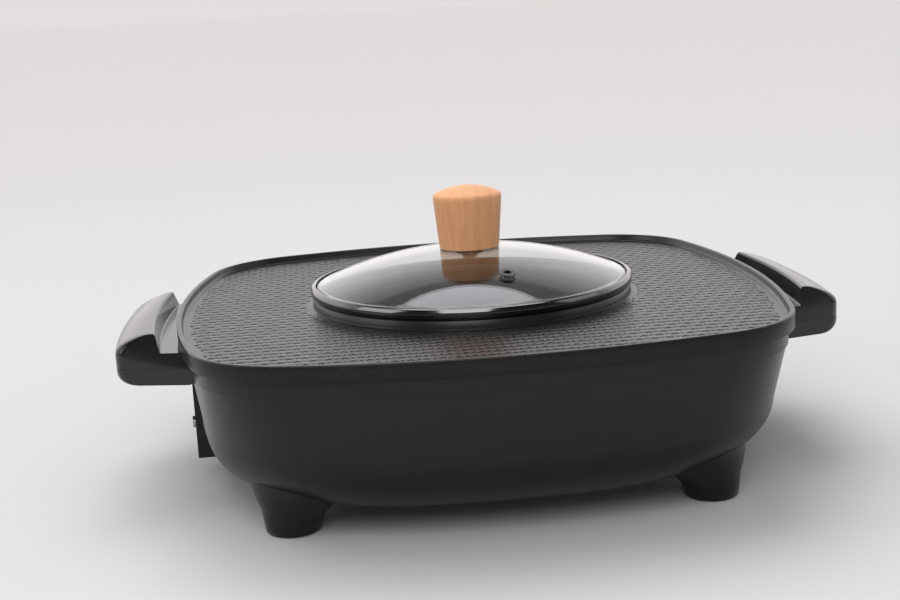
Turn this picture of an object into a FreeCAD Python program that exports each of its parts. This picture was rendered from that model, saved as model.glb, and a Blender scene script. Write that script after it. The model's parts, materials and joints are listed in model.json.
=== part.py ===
import FreeCAD, Part
import math
import os
import Sketcher

# Electric hot pot: a square griddle pan with a round pot in its middle, on a heated base, with a glass lid.
# Millimetres. The origin is on the table under the middle of the pot, +Z is up and the front faces -Y.

doc = FreeCAD.newDocument("HotPot")
sheet = doc.addObject("Spreadsheet::Sheet", "Sizes")
V = FreeCAD.Vector
AXES = {
    "z": FreeCAD.Rotation(),
    "-z": FreeCAD.Rotation(V(1, 0, 0), 180),
    "x": FreeCAD.Rotation(V(0, 1, 0), 90),
    "-x": FreeCAD.Rotation(V(0, 1, 0), -90),
    "y": FreeCAD.Rotation(V(1, 0, 0), -90),
    "-y": FreeCAD.Rotation(V(1, 0, 0), 90),
}
SIGNS = (-1, 1)
nodes = {}


class Length:
    """A size with its value and the sheet expression that gives it, so a sum of sizes stays bound."""

    def __init__(self, value, text):
        self.value = float(value)
        self.text = text

    def __add__(self, other):
        other = length(other)
        return Length(self.value + other.value, f"({self.text} + {other.text})")

    def __sub__(self, other):
        other = length(other)
        return Length(self.value - other.value, f"({self.text} - {other.text})")

    def __mul__(self, other):
        other = length(other)
        return Length(self.value * other.value, f"({self.text} * {other.text})")

    def __truediv__(self, other):
        other = length(other)
        return Length(self.value / other.value, f"({self.text} / {other.text})")

    def __neg__(self):
        return Length(-self.value, f"(0 - {self.text})")

    __radd__ = __add__
    __rmul__ = __mul__

    def __rsub__(self, other):
        return length(other) - self


def length(value):
    if isinstance(value, Length):
        return value
    return Length(value, repr(float(value)))


def size(alias, value):
    """Write a driving dimension to the next row of the sheet and return it."""
    size.row += 1
    sheet.set(f"A{size.row}", alias)
    sheet.set(f"B{size.row}", str(value))
    sheet.setAlias(f"B{size.row}", alias)
    return Length(value, f"Sizes.{alias}")


size.row = 0

# Pan: the outline is a square with bowed sides and round corners
pan_half = size("pan_half", 181)
pan_side_radius = size("pan_side_radius", 515)
pan_corner_radius = size("pan_corner_radius", 66)
rim_top = size("rim_top", 105)
rim_width = size("rim_width", 3)
skirt_height = size("skirt_height", 9.6)
plate_drop = size("plate_drop", 4.4)
plate_thickness = size("plate_thickness", 3.6)

# Pot: the deep round well in the middle of the pan, with a raised collar that carries the lid
pot_radius = size("pot_radius", 93)
pot_wall = size("pot_wall", 3.5)
pot_depth = size("pot_depth", 59)
pot_draft = size("pot_draft", 6)
pot_corner_radius = size("pot_corner_radius", 12)
collar_width = size("collar_width", 5.9)
collar_height = size("collar_height", 5.6)
collar_rebate_width = size("collar_rebate_width", 2.6)
collar_rebate_depth = size("collar_rebate_depth", 2)

# Housing: a bowl with a straight band at its top
lift_gap = size("lift_gap", 0.3)
pan_clearance = size("pan_clearance", 0.8)
band_height = size("band_height", 10.7)
band_step = size("band_step", 1)
body_bottom = size("body_bottom", 14)
shell_wall = size("shell_wall", 2.5)
bowl_slope = size("bowl_slope", 0.15)
bowl_radius = size("bowl_radius", 38)
bottom_opening_radius = size("bottom_opening_radius", 80)

# Feet
foot_inset = size("foot_inset", 63)
foot_place = pan_half - foot_inset
foot_radius = size("foot_radius", 15)
foot_slope = size("foot_slope", 0.19)
foot_edge_radius = size("foot_edge_radius", 4)
foot_flare_radius = size("foot_flare_radius", 34)
foot_flare_shift = size("foot_flare_shift", 11)
foot_flare_start = size("foot_flare_start", 5)
foot_flare_top = size("foot_flare_top", 20)
foot_screw_shift = size("foot_screw_shift", 6)
pad_radius = size("pad_radius", 8)
pad_thickness = size("pad_thickness", 2)
pad_rise = size("pad_rise", 0.6)

# Side handles
handle_overhang = size("handle_overhang", 35.5)
handle_reach = pan_half + handle_overhang
handle_bow = size("handle_bow", 5.5)
handle_corner_reach = handle_reach - handle_bow
handle_root_half = size("handle_root_half", 72)
handle_end_half = size("handle_end_half", 61)
handle_thickness = size("handle_thickness", 19)
handle_drop = size("handle_drop", 1.4)
handle_corner_radius = size("handle_corner_radius", 7)
handle_edge_radius = size("handle_edge_radius", 2.5)
ridge_shift = size("ridge_shift", 6.5)
ridge_inner = pan_half + ridge_shift
ridge_height = size("ridge_height", 10)
ridge_taper = size("ridge_taper", 22)
ridge_end_inset = size("ridge_end_inset", 1.5)
handle_cavity_wall = size("handle_cavity_wall", 5)

# Lid
lid_radius = size("lid_radius", 100)
lid_band_height = size("lid_band_height", 6.2)
lid_band_bulge = size("lid_band_bulge", 0.8)
lid_band_thickness = size("lid_band_thickness", 1.8)
lid_band_chamfer = size("lid_band_chamfer", 1.2)
lid_lip_rise = size("lid_lip_rise", 0.5)
lid_lip_thickness = size("lid_lip_thickness", 1)
lid_lip_width = size("lid_lip_width", 3.4)
glass_thickness = size("glass_thickness", 4)
dome_rise = size("dome_rise", 20.2)
locating_lip = size("locating_lip", 1.9)
locating_lip_width = size("locating_lip_width", 1.2)
locating_lip_gap = size("locating_lip_gap", 0.4)
vent_x = size("vent_x", 15)
vent_y = size("vent_y", -60)
vent_hole_radius = size("vent_hole_radius", 2.4)
vent_tube_wall = size("vent_tube_wall", 0.8)
vent_flange_radius = size("vent_flange_radius", 5)
vent_flange_thickness = size("vent_flange_thickness", 0.8)

# Knob on the lid
knob_bottom_radius = size("knob_bottom_radius", 18)
knob_top_radius = size("knob_top_radius", 21.4)
knob_height = size("knob_height", 38)
knob_crown_radius = size("knob_crown_radius", 46)
knob_edge_radius = size("knob_edge_radius", 2.5)
insert_radius = size("insert_radius", 4.5)
insert_length = size("insert_length", 19)
insert_start = size("insert_start", 1.5)
knob_screw_radius = size("knob_screw_radius", 2)
knob_screw_head_radius = size("knob_screw_head_radius", 5.5)
knob_screw_head_height = size("knob_screw_head_height", 2.5)
knob_washer_radius = size("knob_washer_radius", 8.5)
knob_washer_thickness = size("knob_washer_thickness", 1)

# Heaters and reflector
reflector_inset = size("reflector_inset", 62)
reflector_radius = pan_half - reflector_inset
reflector_rise = size("reflector_rise", 8.5)
reflector_sheet = size("reflector_sheet", 1)
reflector_flange = size("reflector_flange", 7)
hotplate_radius = size("hotplate_radius", 70)
hotplate_thickness = size("hotplate_thickness", 6.5)
hotplate_leg_radius = size("hotplate_leg_radius", 4)
hotplate_leg_place = size("hotplate_leg_place", 60)
pot_coil_radius = size("pot_coil_radius", 44)
tube_radius = size("tube_radius", 2.6)
grill_coil_radius = size("grill_coil_radius", 130)
grill_coil_drop = size("grill_coil_drop", 1.5)
coil_end_wall = size("coil_end_wall", 0.4)
coil_end_place = size("coil_end_place", 14)
coil_end_length = size("coil_end_length", 30)
bracket_width = size("bracket_width", 16)
bracket_thickness = size("bracket_thickness", 1.5)
bracket_overlap = size("bracket_overlap", 6)
bushing_radius = size("bushing_radius", 5)
bushing_length = size("bushing_length", 12)

# Control panel on the back
panel_half = size("panel_half", 72)
panel_inset = size("panel_inset", 13)
panel_face = pan_half - panel_inset
panel_bottom = size("panel_bottom", 27)
panel_height = size("panel_height", 42)
panel_wall = size("panel_wall", 2.5)
panel_depth = size("panel_depth", 19)
bracket_plate_half = size("bracket_plate_half", 82)
bracket_plate_height = size("bracket_plate_height", 60)
dial_place = size("dial_place", 36)
dial_height = size("dial_height", 47)
dial_radius = size("dial_radius", 14.5)
dial_skirt = size("dial_skirt", 3)
dial_depth = size("dial_depth", 12)
dial_grip_radius = size("dial_grip_radius", 11)
dial_gap = size("dial_gap", 0.4)
shaft_radius = size("shaft_radius", 3)
shaft_clearance = size("shaft_clearance", 0.06)
shaft_engagement = size("shaft_engagement", 8)
thermostat_width = size("thermostat_width", 30)
thermostat_depth = size("thermostat_depth", 20)
thermostat_bushing_radius = size("thermostat_bushing_radius", 5)
thermostat_bushing_length = size("thermostat_bushing_length", 7)
lens_radius = size("lens_radius", 2.6)
lens_place = size("lens_place", 9)
lens_height = size("lens_height", 60)
lens_rise = size("lens_rise", 1.2)
lamp_length = size("lamp_length", 9)

# Power inlet on the left end
inlet_inset = size("inlet_inset", 6.5)
inlet_face = pan_half - inlet_inset
inlet_half = size("inlet_half", 30)
inlet_bottom = size("inlet_bottom", 18)
inlet_top = size("inlet_top", 71)
socket_half_width = size("socket_half_width", 14.5)
socket_half_height = size("socket_half_height", 10.5)
socket_height = size("socket_height", 39)
socket_depth = size("socket_depth", 27)
socket_wall = size("socket_wall", 2.5)
recess_depth = size("recess_depth", 18)
pin_length = size("pin_length", 11)
pin_width = size("pin_width", 4)
pin_thickness = size("pin_thickness", 2)
pin_spacing = size("pin_spacing", 7)
earth_pin_rise = size("earth_pin_rise", 3)
pin_drop = size("pin_drop", 2)
pin_tail = size("pin_tail", 6)
inlet_screw_reach = size("inlet_screw_reach", 12)

# Small parts inside and fasteners
terminal_shift = size("terminal_shift", 68.5)
terminal_x = inlet_face - terminal_shift
terminal_depth = size("terminal_depth", 12)
terminal_half_width = size("terminal_half_width", 16)
terminal_height = size("terminal_height", 12)
wire_radius = size("wire_radius", 1.3)
wire_rise = size("wire_rise", 6)
fuse_radius = size("fuse_radius", 3)
fuse_length = size("fuse_length", 16)
fuse_place = size("fuse_place", 96)
fuse_rise = size("fuse_rise", 0.6)
clip_half_width = size("clip_half_width", 3)
clip_wall = size("clip_wall", 1)
screw_radius = size("screw_radius", 2)
screw_clearance = size("screw_clearance", 0.1)
screw_head_radius = size("screw_head_radius", 3.6)
screw_head_height = size("screw_head_height", 2)
screw_grip = size("screw_grip", 8)
cover_radius = size("cover_radius", 89)
cover_thickness = size("cover_thickness", 1.2)
cover_screw_place = size("cover_screw_place", 84.5)
vent_slot_length = size("vent_slot_length", 34)
vent_slot_width = size("vent_slot_width", 3.2)
vent_slot_pitch = size("vent_slot_pitch", 9)
handle_screw_place = size("handle_screw_place", 40)
clamp_screw_shift = size("clamp_screw_shift", 12.5)
clamp_screw_reach = ridge_inner + clamp_screw_shift
OVERCUT = 5
doc.recompute()

# Levels and reaches that follow from the driving sizes
plate_top = rim_top - plate_drop
plate_bottom = plate_top - plate_thickness
skirt_bottom = rim_top - skirt_height
body_top = plate_bottom - lift_gap
band_bottom = body_top - band_height
band_inset = rim_width + pan_clearance
floor_inside = body_bottom + shell_wall
collar_radius = pot_radius + collar_width
collar_top = plate_top + collar_height
pot_inside_bottom = plate_top - pot_depth
pot_outside_bottom = pot_inside_bottom - pot_wall
lid_bottom = collar_top + lift_gap
glass_edge_radius = lid_radius - lid_band_thickness
glass_edge_top = lid_bottom + lid_band_height - lid_band_chamfer
dome_radius = (glass_edge_radius * glass_edge_radius + dome_rise * dome_rise) / (2 * dome_rise)
dome_top = glass_edge_top + dome_rise
dome_centre = dome_top - dome_radius
handle_top = skirt_bottom - handle_drop
handle_bottom = handle_top - handle_thickness
handle_seam = handle_top - handle_thickness / 2
reflector_top = floor_inside + reflector_rise
hotplate_top = pot_outside_bottom - lift_gap
hotplate_bottom = hotplate_top - hotplate_thickness
screw_hole = screw_radius + screw_clearance


def bind(obj, **expressions):
    for name, value in expressions.items():
        value = length(value)
        setattr(obj, name, value.value)
        obj.setExpression(name, value.text)


def place(obj, point, axis="z"):
    """Put an object's own origin at a point, with its own +Z along an axis."""
    numbers = [length(value) for value in point]
    obj.Placement = FreeCAD.Placement(V(*[n.value for n in numbers]), AXES[axis])
    for letter, number in zip("xyz", numbers):
        if number.text != "0.0":
            obj.setExpression(f".Placement.Base.{letter}", number.text)
    return obj


def cylinder(name, radius, height, point, axis="z"):
    obj = doc.addObject("Part::Cylinder", name)
    bind(obj, Radius=radius, Height=height)
    return place(obj, point, axis)


def cone(name, start_radius, end_radius, height, point, axis="z"):
    obj = doc.addObject("Part::Cone", name)
    bind(obj, Radius1=start_radius, Radius2=end_radius, Height=height)
    return place(obj, point, axis)


def sphere(name, radius, point):
    obj = doc.addObject("Part::Sphere", name)
    bind(obj, Radius=radius)
    return place(obj, point)


def ring(name, radius, section_radius, point):
    obj = doc.addObject("Part::Torus", name)
    bind(obj, Radius1=radius, Radius2=section_radius)
    return place(obj, point)


def block(name, low, high):
    obj = doc.addObject("Part::Box", name)
    low = [length(value) for value in low]
    high = [length(value) for value in high]
    bind(obj, Length=high[0] - low[0], Width=high[1] - low[1], Height=high[2] - low[2])
    return place(obj, low)


def cut(name, base, *tools):
    obj = doc.addObject("Part::Cut", name)
    obj.Base = base
    obj.Tool = tools[0] if len(tools) == 1 else fuse(name + "_tools", *tools)
    return obj


def fuse(name, *parts):
    obj = doc.addObject("Part::MultiFuse", name)
    obj.Shapes = list(parts)
    return obj


def common(name, first, second):
    obj = doc.addObject("Part::MultiCommon", name)
    obj.Shapes = [first, second]
    return obj


def group(name, parts):
    """Like pieces that stay separate solids in one node."""
    obj = doc.addObject("Part::Compound", name)
    obj.Links = list(parts)
    return obj


def mirrored(name, source, normal):
    obj = doc.addObject("Part::Mirroring", name)
    obj.Source = source
    obj.Normal = normal
    return obj


def node(name, obj):
    obj.Label = name
    nodes[name] = obj
    return obj


def new_sketch(name, plane, level=0):
    body = doc.addObject("PartDesign::Body", name)
    return body, add_sketch(body, name + "_sketch", plane, level)


def add_sketch(body, name, plane, level=0):
    sketch = body.newObject("Sketcher::SketchObject", name)
    origin_plane = next(item for item in body.Origin.OriginFeatures if item.Role == plane)
    sketch.AttachmentSupport = [(origin_plane, "")]
    sketch.MapMode = "FlatFace"
    level = length(level)
    sketch.AttachmentOffset = FreeCAD.Placement(V(0, 0, level.value), FreeCAD.Rotation())
    if level.text != "0.0":
        sketch.setExpression("AttachmentOffset.Base.z", level.text)
    return sketch


def constrain(sketch, kind, places, value):
    value = length(value)
    index = sketch.addConstraint(Sketcher.Constraint(kind, *places, value.value))
    sketch.setExpression(f"Constraints[{index}]", value.text)


def polygon(sketch, points):
    """A closed outline of straight edges. Each corner is held by its distances from the sketch's origin."""
    points = [(length(x), length(y)) for x, y in points]
    count = len(points)
    for index, (x, y) in enumerate(points):
        end_x, end_y = points[(index + 1) % count]
        start = V(x.value, y.value, 0)
        end = V(end_x.value, end_y.value, 0)
        sketch.addGeometry(Part.LineSegment(start, end))
    for index, (x, y) in enumerate(points):
        sketch.addConstraint(Sketcher.Constraint("Coincident", index, 2, (index + 1) % count, 1))
        hold(sketch, index, x, "DistanceX", -2)
        hold(sketch, index, y, "DistanceY", -1)


def hold(sketch, index, value, kind, axis):
    """Hold a corner at its distance from one sketch axis, or on that axis."""
    if value.text == "0.0":
        sketch.addConstraint(Sketcher.Constraint("PointOnObject", index, 1, axis))
    elif value.value < 0:
        constrain(sketch, kind, (index, 1, -1, 1), -value)
    else:
        constrain(sketch, kind, (-1, 1, index, 1), value)


def bowed_square(sketch, inset):
    """The pan's outline, moved inwards: four bowed sides joined by four tangent corner arcs."""
    half = pan_half - inset
    side = pan_side_radius - inset
    corner = pan_corner_radius - inset
    centre = side - half
    reach = math.sqrt(2 * (side.value - corner.value) ** 2 - centre.value ** 2)
    place_of_corner = (reach - centre.value) / 2
    swing = math.atan2(place_of_corner, place_of_corner + centre.value)
    for turn in range(4):
        angle = turn * math.pi / 2
        side_centre = V(-centre.value * math.cos(angle), -centre.value * math.sin(angle), 0)
        side_circle = Part.Circle(side_centre, V(0, 0, 1), side.value)
        sketch.addGeometry(Part.ArcOfCircle(side_circle, angle - swing, angle + swing))
        diagonal = angle + math.pi / 4
        corner_reach = place_of_corner * math.sqrt(2)
        corner_centre = V(corner_reach * math.cos(diagonal), corner_reach * math.sin(diagonal), 0)
        corner_circle = Part.Circle(corner_centre, V(0, 0, 1), corner.value)
        sketch.addGeometry(Part.ArcOfCircle(corner_circle, angle + swing, angle + math.pi / 2 - swing))
    for index in range(8):
        sketch.addConstraint(Sketcher.Constraint("Tangent", index, 2, (index + 1) % 8, 1))
    kinds = ("DistanceX", "DistanceY", "DistanceX", "DistanceY")
    for turn, kind in enumerate(kinds):
        on_axis = -1 if kind == "DistanceX" else -2
        sketch.addConstraint(Sketcher.Constraint("PointOnObject", 2 * turn, 3, on_axis))
        places = (2 * turn, 3, -1, 1) if turn < 2 else (-1, 1, 2 * turn, 3)
        constrain(sketch, kind, places, centre)
        constrain(sketch, "Radius", (2 * turn,), side)
        constrain(sketch, "Radius", (2 * turn + 1,), corner)


def square_pad(name, inset, bottom, height):
    """A slab with the pan's outline moved inwards."""
    body, sketch = new_sketch(name, "XY_Plane", bottom)
    bowed_square(sketch, length(inset))
    pad = body.newObject("PartDesign::Pad", name + "_pad")
    pad.Profile = sketch
    bind(pad, Length=height)
    return body


def square_loft(name, sections):
    """A smooth bowl through outlines given as (inset, level)."""
    body, first = new_sketch(name, "XY_Plane", sections[0][1])
    bowed_square(first, sections[0][0])
    others = []
    for index, (inset, level) in enumerate(sections[1:]):
        sketch = add_sketch(body, f"{name}_section_{index}", "XY_Plane", level)
        bowed_square(sketch, inset)
        others.append(sketch)
    loft = body.newObject("PartDesign::AdditiveLoft", name + "_loft")
    loft.Profile = first
    loft.Sections = others
    return body


def turned(name, points):
    """A piece turned about +Z from a closed outline of (radius, level)."""
    body, sketch = new_sketch(name, "XZ_Plane")
    polygon(sketch, points)
    turn = body.newObject("PartDesign::Revolution", name + "_turn")
    turn.Profile = sketch
    turn.ReferenceAxis = (sketch, ["V_Axis"])
    turn.Angle = 360
    return body


def rounded(body, chosen, radius):
    """Round the edges of a body's tip that a test picks."""
    doc.recompute()
    tip = body.Tip
    names = [f"Edge{i + 1}" for i, edge in enumerate(tip.Shape.Edges) if chosen(edge)]
    fillet = body.newObject("PartDesign::Fillet", body.Name + "_fillet")
    fillet.Base = (tip, names)
    bind(fillet, Radius=radius)
    return body


def flat_edge_at(level):
    def chosen(edge):
        box = edge.BoundBox
        return abs(box.ZMin - level.value) < 0.01 and abs(box.ZMax - level.value) < 0.01 and box.XLength > 1
    return chosen


def screw(name, point, axis, grip, head_radius=screw_head_radius):
    """A pan-head screw: the point is under the head, and the axis runs along the shank."""
    shank = cylinder(name + "_shank", screw_radius, grip, point, axis)
    opposite = axis[1:] if axis.startswith("-") else "-" + axis
    head = cylinder(name + "_head", head_radius, screw_head_height, point, opposite)
    return fuse(name, shank, head)


def bowl_sections(wall):
    """Outlines of the housing's bowl, moved inwards by a wall: a sloping side, then a round bottom corner."""
    top_inset = band_inset + band_step
    corner_level = body_bottom + bowl_radius
    side_height = band_bottom - corner_level
    corner_inset = top_inset + side_height * bowl_slope
    middle = band_bottom - side_height / 2
    sections = [
        (top_inset + wall, band_bottom),
        ((top_inset + corner_inset) / 2 + wall, middle),
        (corner_inset + wall, corner_level),
    ]
    for degrees in (24, 46, 68, 90):
        angle = math.radians(degrees)
        inset = corner_inset + bowl_radius - (bowl_radius - wall) * math.cos(angle)
        level = corner_level - (bowl_radius - wall) * math.sin(angle)
        sections.append((inset, level))
    return sections


def make_pan():
    """The cast pan: a rimmed plate and the pot in one piece."""
    blank = square_pad("pan_blank", 0, skirt_bottom, skirt_height)
    top_cut = square_pad("plate_hollow", rim_width, plate_top, plate_drop + OVERCUT)
    under_cut = square_pad("skirt_hollow", rim_width, skirt_bottom - OVERCUT,
                           plate_bottom - skirt_bottom + OVERCUT)
    plate = cut("pan_plate", blank, top_cut, under_cut)
    outside = turned("pot_outside", [
        (0, pot_outside_bottom),
        (pot_radius + pot_wall - pot_draft, pot_outside_bottom),
        (pot_radius + pot_wall, plate_bottom),
        (collar_radius, plate_top),
        (collar_radius, collar_top),
        (0, collar_top),
    ])
    rounded(outside, flat_edge_at(pot_outside_bottom), pot_corner_radius + pot_wall)
    inside = turned("pot_inside", [
        (0, pot_inside_bottom),
        (pot_radius - pot_draft, pot_inside_bottom),
        (pot_radius, plate_top),
        (pot_radius, collar_top + OVERCUT),
        (0, collar_top + OVERCUT),
    ])
    rounded(inside, flat_edge_at(pot_inside_bottom), pot_corner_radius)
    rebate = cylinder("collar_rebate", pot_radius + collar_rebate_width, collar_rebate_depth + OVERCUT,
                      (0, 0, collar_top - collar_rebate_depth))
    solid = fuse("pan_solid", plate, outside)
    node("grill_pan", cut("pan", solid, inside, rebate))


def make_shell_forms():
    """The housing's full outer form and its hollow, which other pieces are fitted to."""
    outer_bowl = square_loft("outer_bowl", bowl_sections(length(0)))
    band = square_pad("band", band_inset, band_bottom, band_height)
    outer = fuse("shell_outer", outer_bowl, band)
    inner_bowl = square_loft("inner_bowl", bowl_sections(shell_wall))
    inner_band = square_pad("inner_band", band_inset + shell_wall + band_step, band_bottom,
                            band_height + OVERCUT)
    hollow = fuse("shell_hollow", inner_bowl, inner_band)
    return outer, hollow


def make_feet(outer):
    """Four tapered feet that flare into the underside, each with a rubber pad and a screw from inside."""
    foot_top = body_bottom + bowl_radius
    names = {
        (-1, -1): "foot_front_left",
        (1, -1): "foot_front_right",
        (-1, 1): "foot_rear_left",
        (1, 1): "foot_rear_right",
    }
    pads = []
    screws = []
    holes = []
    flare_place = foot_place - foot_flare_shift
    screw_place = foot_place - foot_screw_shift
    screw_end = pad_rise + pad_thickness + 3
    for (x, y), name in names.items():
        height = foot_top - pad_rise
        leg = turned(name + "_leg", [
            (0, pad_rise), (foot_radius, pad_rise),
            (foot_radius + height * foot_slope, foot_top), (0, foot_top),
        ])
        rounded(leg, flat_edge_at(pad_rise), foot_edge_radius)
        place(leg, (x * foot_place, y * foot_place, 0))
        flare = cone(name + "_flare", pad_radius, foot_flare_radius, foot_flare_top - foot_flare_start,
                     (x * flare_place, y * flare_place, foot_flare_start))
        pad = cylinder(name + "_pad", pad_radius, pad_thickness, (x * foot_place, y * foot_place, 0))
        hole = cylinder(name + "_hole", screw_hole, floor_inside + 1 - screw_end,
                        (x * screw_place, y * screw_place, screw_end))
        node(name, cut(name + "_cut", fuse(name + "_solid", leg, flare), outer, pad, hole))
        pads.append(pad)
        holes.append(hole)
        screws.append(screw(name + "_screw", (x * screw_place, y * screw_place, floor_inside), "-z",
                            floor_inside - screw_end))
    node("foot_pads", group("pads", pads))
    node("foot_screws", group("foot_screw_group", screws))
    return holes


def handle_outline(sketch, inner, end_inset):
    """Half-round plan of a handle: slanted ends and a bowed outer edge."""
    reach = handle_reach - end_inset
    corner = handle_corner_reach - end_inset
    root_half = handle_root_half - end_inset
    end_half = handle_end_half - end_inset
    slope = (handle_root_half - handle_end_half) / (handle_corner_reach - ridge_inner)
    inner_half = root_half - (inner - ridge_inner) * slope
    bulge = reach - corner
    radius = (end_half * end_half + bulge * bulge) / (2 * bulge)
    centre = V(reach.value - radius.value, 0, 0)
    swing = math.asin(end_half.value / radius.value)
    corners = [(inner.value, inner_half.value), (inner.value, -inner_half.value),
               (corner.value, -end_half.value), (corner.value, end_half.value)]
    points = [V(x, y, 0) for x, y in corners]
    sketch.addGeometry(Part.LineSegment(points[0], points[1]))
    sketch.addGeometry(Part.LineSegment(points[1], points[2]))
    sketch.addGeometry(Part.ArcOfCircle(Part.Circle(centre, V(0, 0, 1), radius.value), -swing, swing))
    sketch.addGeometry(Part.LineSegment(points[3], points[0]))
    for first, first_end, second, second_end in ((0, 2, 1, 1), (1, 2, 2, 1), (2, 2, 3, 1), (3, 2, 0, 1)):
        sketch.addConstraint(Sketcher.Constraint("Coincident", first, first_end, second, second_end))
    sketch.addConstraint(Sketcher.Constraint("Symmetric", 0, 1, 0, 2, -1))
    sketch.addConstraint(Sketcher.Constraint("Symmetric", 2, 1, 2, 2, -1))
    constrain(sketch, "DistanceX", (-1, 1, 0, 1), inner)
    constrain(sketch, "DistanceY", (-1, 1, 0, 1), inner_half)
    constrain(sketch, "DistanceX", (-1, 1, 2, 2), corner)
    constrain(sketch, "DistanceY", (-1, 1, 2, 2), end_half)
    constrain(sketch, "Radius", (2,), radius)


def upright_edge(minimum_reach):
    def chosen(edge):
        box = edge.BoundBox
        return box.ZLength > 1 and box.XLength < 5 and box.YLength < 5 and box.XMin > minimum_reach.value
    return chosen


def handle_slab(name, bottom, height, round_level):
    body, sketch = new_sketch(name, "XY_Plane", bottom)
    handle_outline(sketch, pan_half - band_inset - bowl_radius, length(0))
    pad = body.newObject("PartDesign::Pad", name + "_pad")
    pad.Profile = sketch
    bind(pad, Length=height)
    rounded(body, upright_edge(ridge_inner), handle_corner_radius)
    rounded(body, flat_edge_at(round_level), handle_edge_radius)
    return body


def make_handles(outer):
    """Bakelite handles in two shells, with a raised grip ridge, held by screws through the housing."""
    half_thickness = handle_thickness / 2
    lower = handle_slab("handle_lower_slab", handle_bottom, half_thickness, handle_bottom)
    upper = handle_slab("handle_upper_slab", handle_seam, half_thickness, handle_top)
    ridge, sketch = new_sketch("handle_ridge", "XY_Plane", handle_top - 1)
    handle_outline(sketch, ridge_inner, ridge_end_inset)
    pad = ridge.newObject("PartDesign::Pad", "handle_ridge_pad")
    pad.Profile = sketch
    pad.TaperAngle = -ridge_taper.value
    bind(pad, Length=ridge_height + 1)
    pad.setExpression("TaperAngle", (-ridge_taper).text)
    cavity_half = handle_screw_place - handle_cavity_wall
    cavity = block("handle_cavity", (ridge_inner, -cavity_half, handle_bottom + handle_cavity_wall),
                   (clamp_screw_reach + screw_head_radius, cavity_half, handle_seam + 1))
    clamp_end = handle_top - handle_cavity_wall
    screw_level = handle_bottom + half_thickness / 2
    shank_holes = []
    clamp_holes = []
    head_holes = []
    mounting = []
    clamping = []
    head_end = handle_screw_place + screw_head_radius
    side_bow = head_end * head_end / (2 * (pan_side_radius - band_inset))
    side_slope = (band_bottom - screw_level + screw_head_radius) * bowl_slope
    wall_face = pan_half - band_inset - band_step - shell_wall
    screw_start = wall_face - side_slope - side_bow - lift_gap
    for y in SIGNS:
        tag = "a" if y < 0 else "b"
        start = (screw_start, y * handle_screw_place, screw_level)
        mounting.append(screw("mount_screw_" + tag, start, "x", screw_grip + shell_wall + 6))
        shank_holes.append(cylinder("mount_hole_" + tag, screw_hole, screw_grip + shell_wall + 8, start,
                                    "x"))
        below = (clamp_screw_reach, y * handle_screw_place, handle_bottom)
        under_head = (clamp_screw_reach, y * handle_screw_place, handle_bottom + screw_head_height)
        clamp_grip = clamp_end - handle_bottom - screw_head_height
        clamping.append(screw("clamp_screw_" + tag, under_head, "z", clamp_grip))
        clamp_holes.append(cylinder("clamp_hole_" + tag, screw_hole, clamp_end - handle_bottom, below))
        head_holes.append(cylinder("clamp_head_" + tag, screw_head_radius + screw_clearance,
                                   screw_head_height, below))
    lower_cut = cut("handle_lower", lower, outer, cavity, *shank_holes, *clamp_holes, *head_holes)
    upper_solid = fuse("handle_upper_solid", upper, ridge)
    upper_cut = cut("handle_upper", upper_solid, outer, *clamp_holes)
    node("handle_right_lower", lower_cut)
    node("handle_right_upper", upper_cut)
    node("handle_left_lower", mirrored("handle_lower_copy", lower_cut, V(1, 0, 0)))
    node("handle_left_upper", mirrored("handle_upper_copy", upper_cut, V(1, 0, 0)))
    mounting += [mirrored(item.Name + "_copy", item, V(1, 0, 0)) for item in mounting]
    clamping += [mirrored(item.Name + "_copy", item, V(1, 0, 0)) for item in clamping]
    node("handle_mount_screws", group("mount_group", mounting))
    node("handle_clamp_screws", group("clamp_group", clamping))
    return shank_holes + [mirrored(item.Name + "_copy", item, V(1, 0, 0)) for item in shank_holes]


def make_bottom():
    """Bottom cover with air slots, and its screws."""
    cover = cylinder("cover_disc", cover_radius, cover_thickness, (0, 0, body_bottom - cover_thickness))
    slots = []
    for row in range(-2, 3):
        y = row * vent_slot_pitch
        for x in SIGNS:
            middle = x * (vent_slot_length / 2 + 8)
            low = (middle - vent_slot_length / 2, y - vent_slot_width / 2, body_bottom - cover_thickness - 1)
            high = (middle + vent_slot_length / 2, y + vent_slot_width / 2, body_bottom + 1)
            slots.append(block(f"cover_slot_{row + 2}_{x + 1}", low, high))
    screws = []
    holes = []
    under_cover = body_bottom - cover_thickness
    for index, (x, y) in enumerate(((1, 0), (0, 1), (-1, 0), (0, -1))):
        point = (x * cover_screw_place, y * cover_screw_place, under_cover)
        screws.append(screw(f"cover_screw_{index}", point, "z", cover_thickness + shell_wall + 1.5))
        holes.append(cylinder(f"cover_hole_{index}", screw_hole, cover_thickness + shell_wall + 1, point))
    node("bottom_cover", cut("cover", cover, *slots, *holes))
    node("bottom_cover_screws", group("cover_screws", screws))
    return holes


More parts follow.
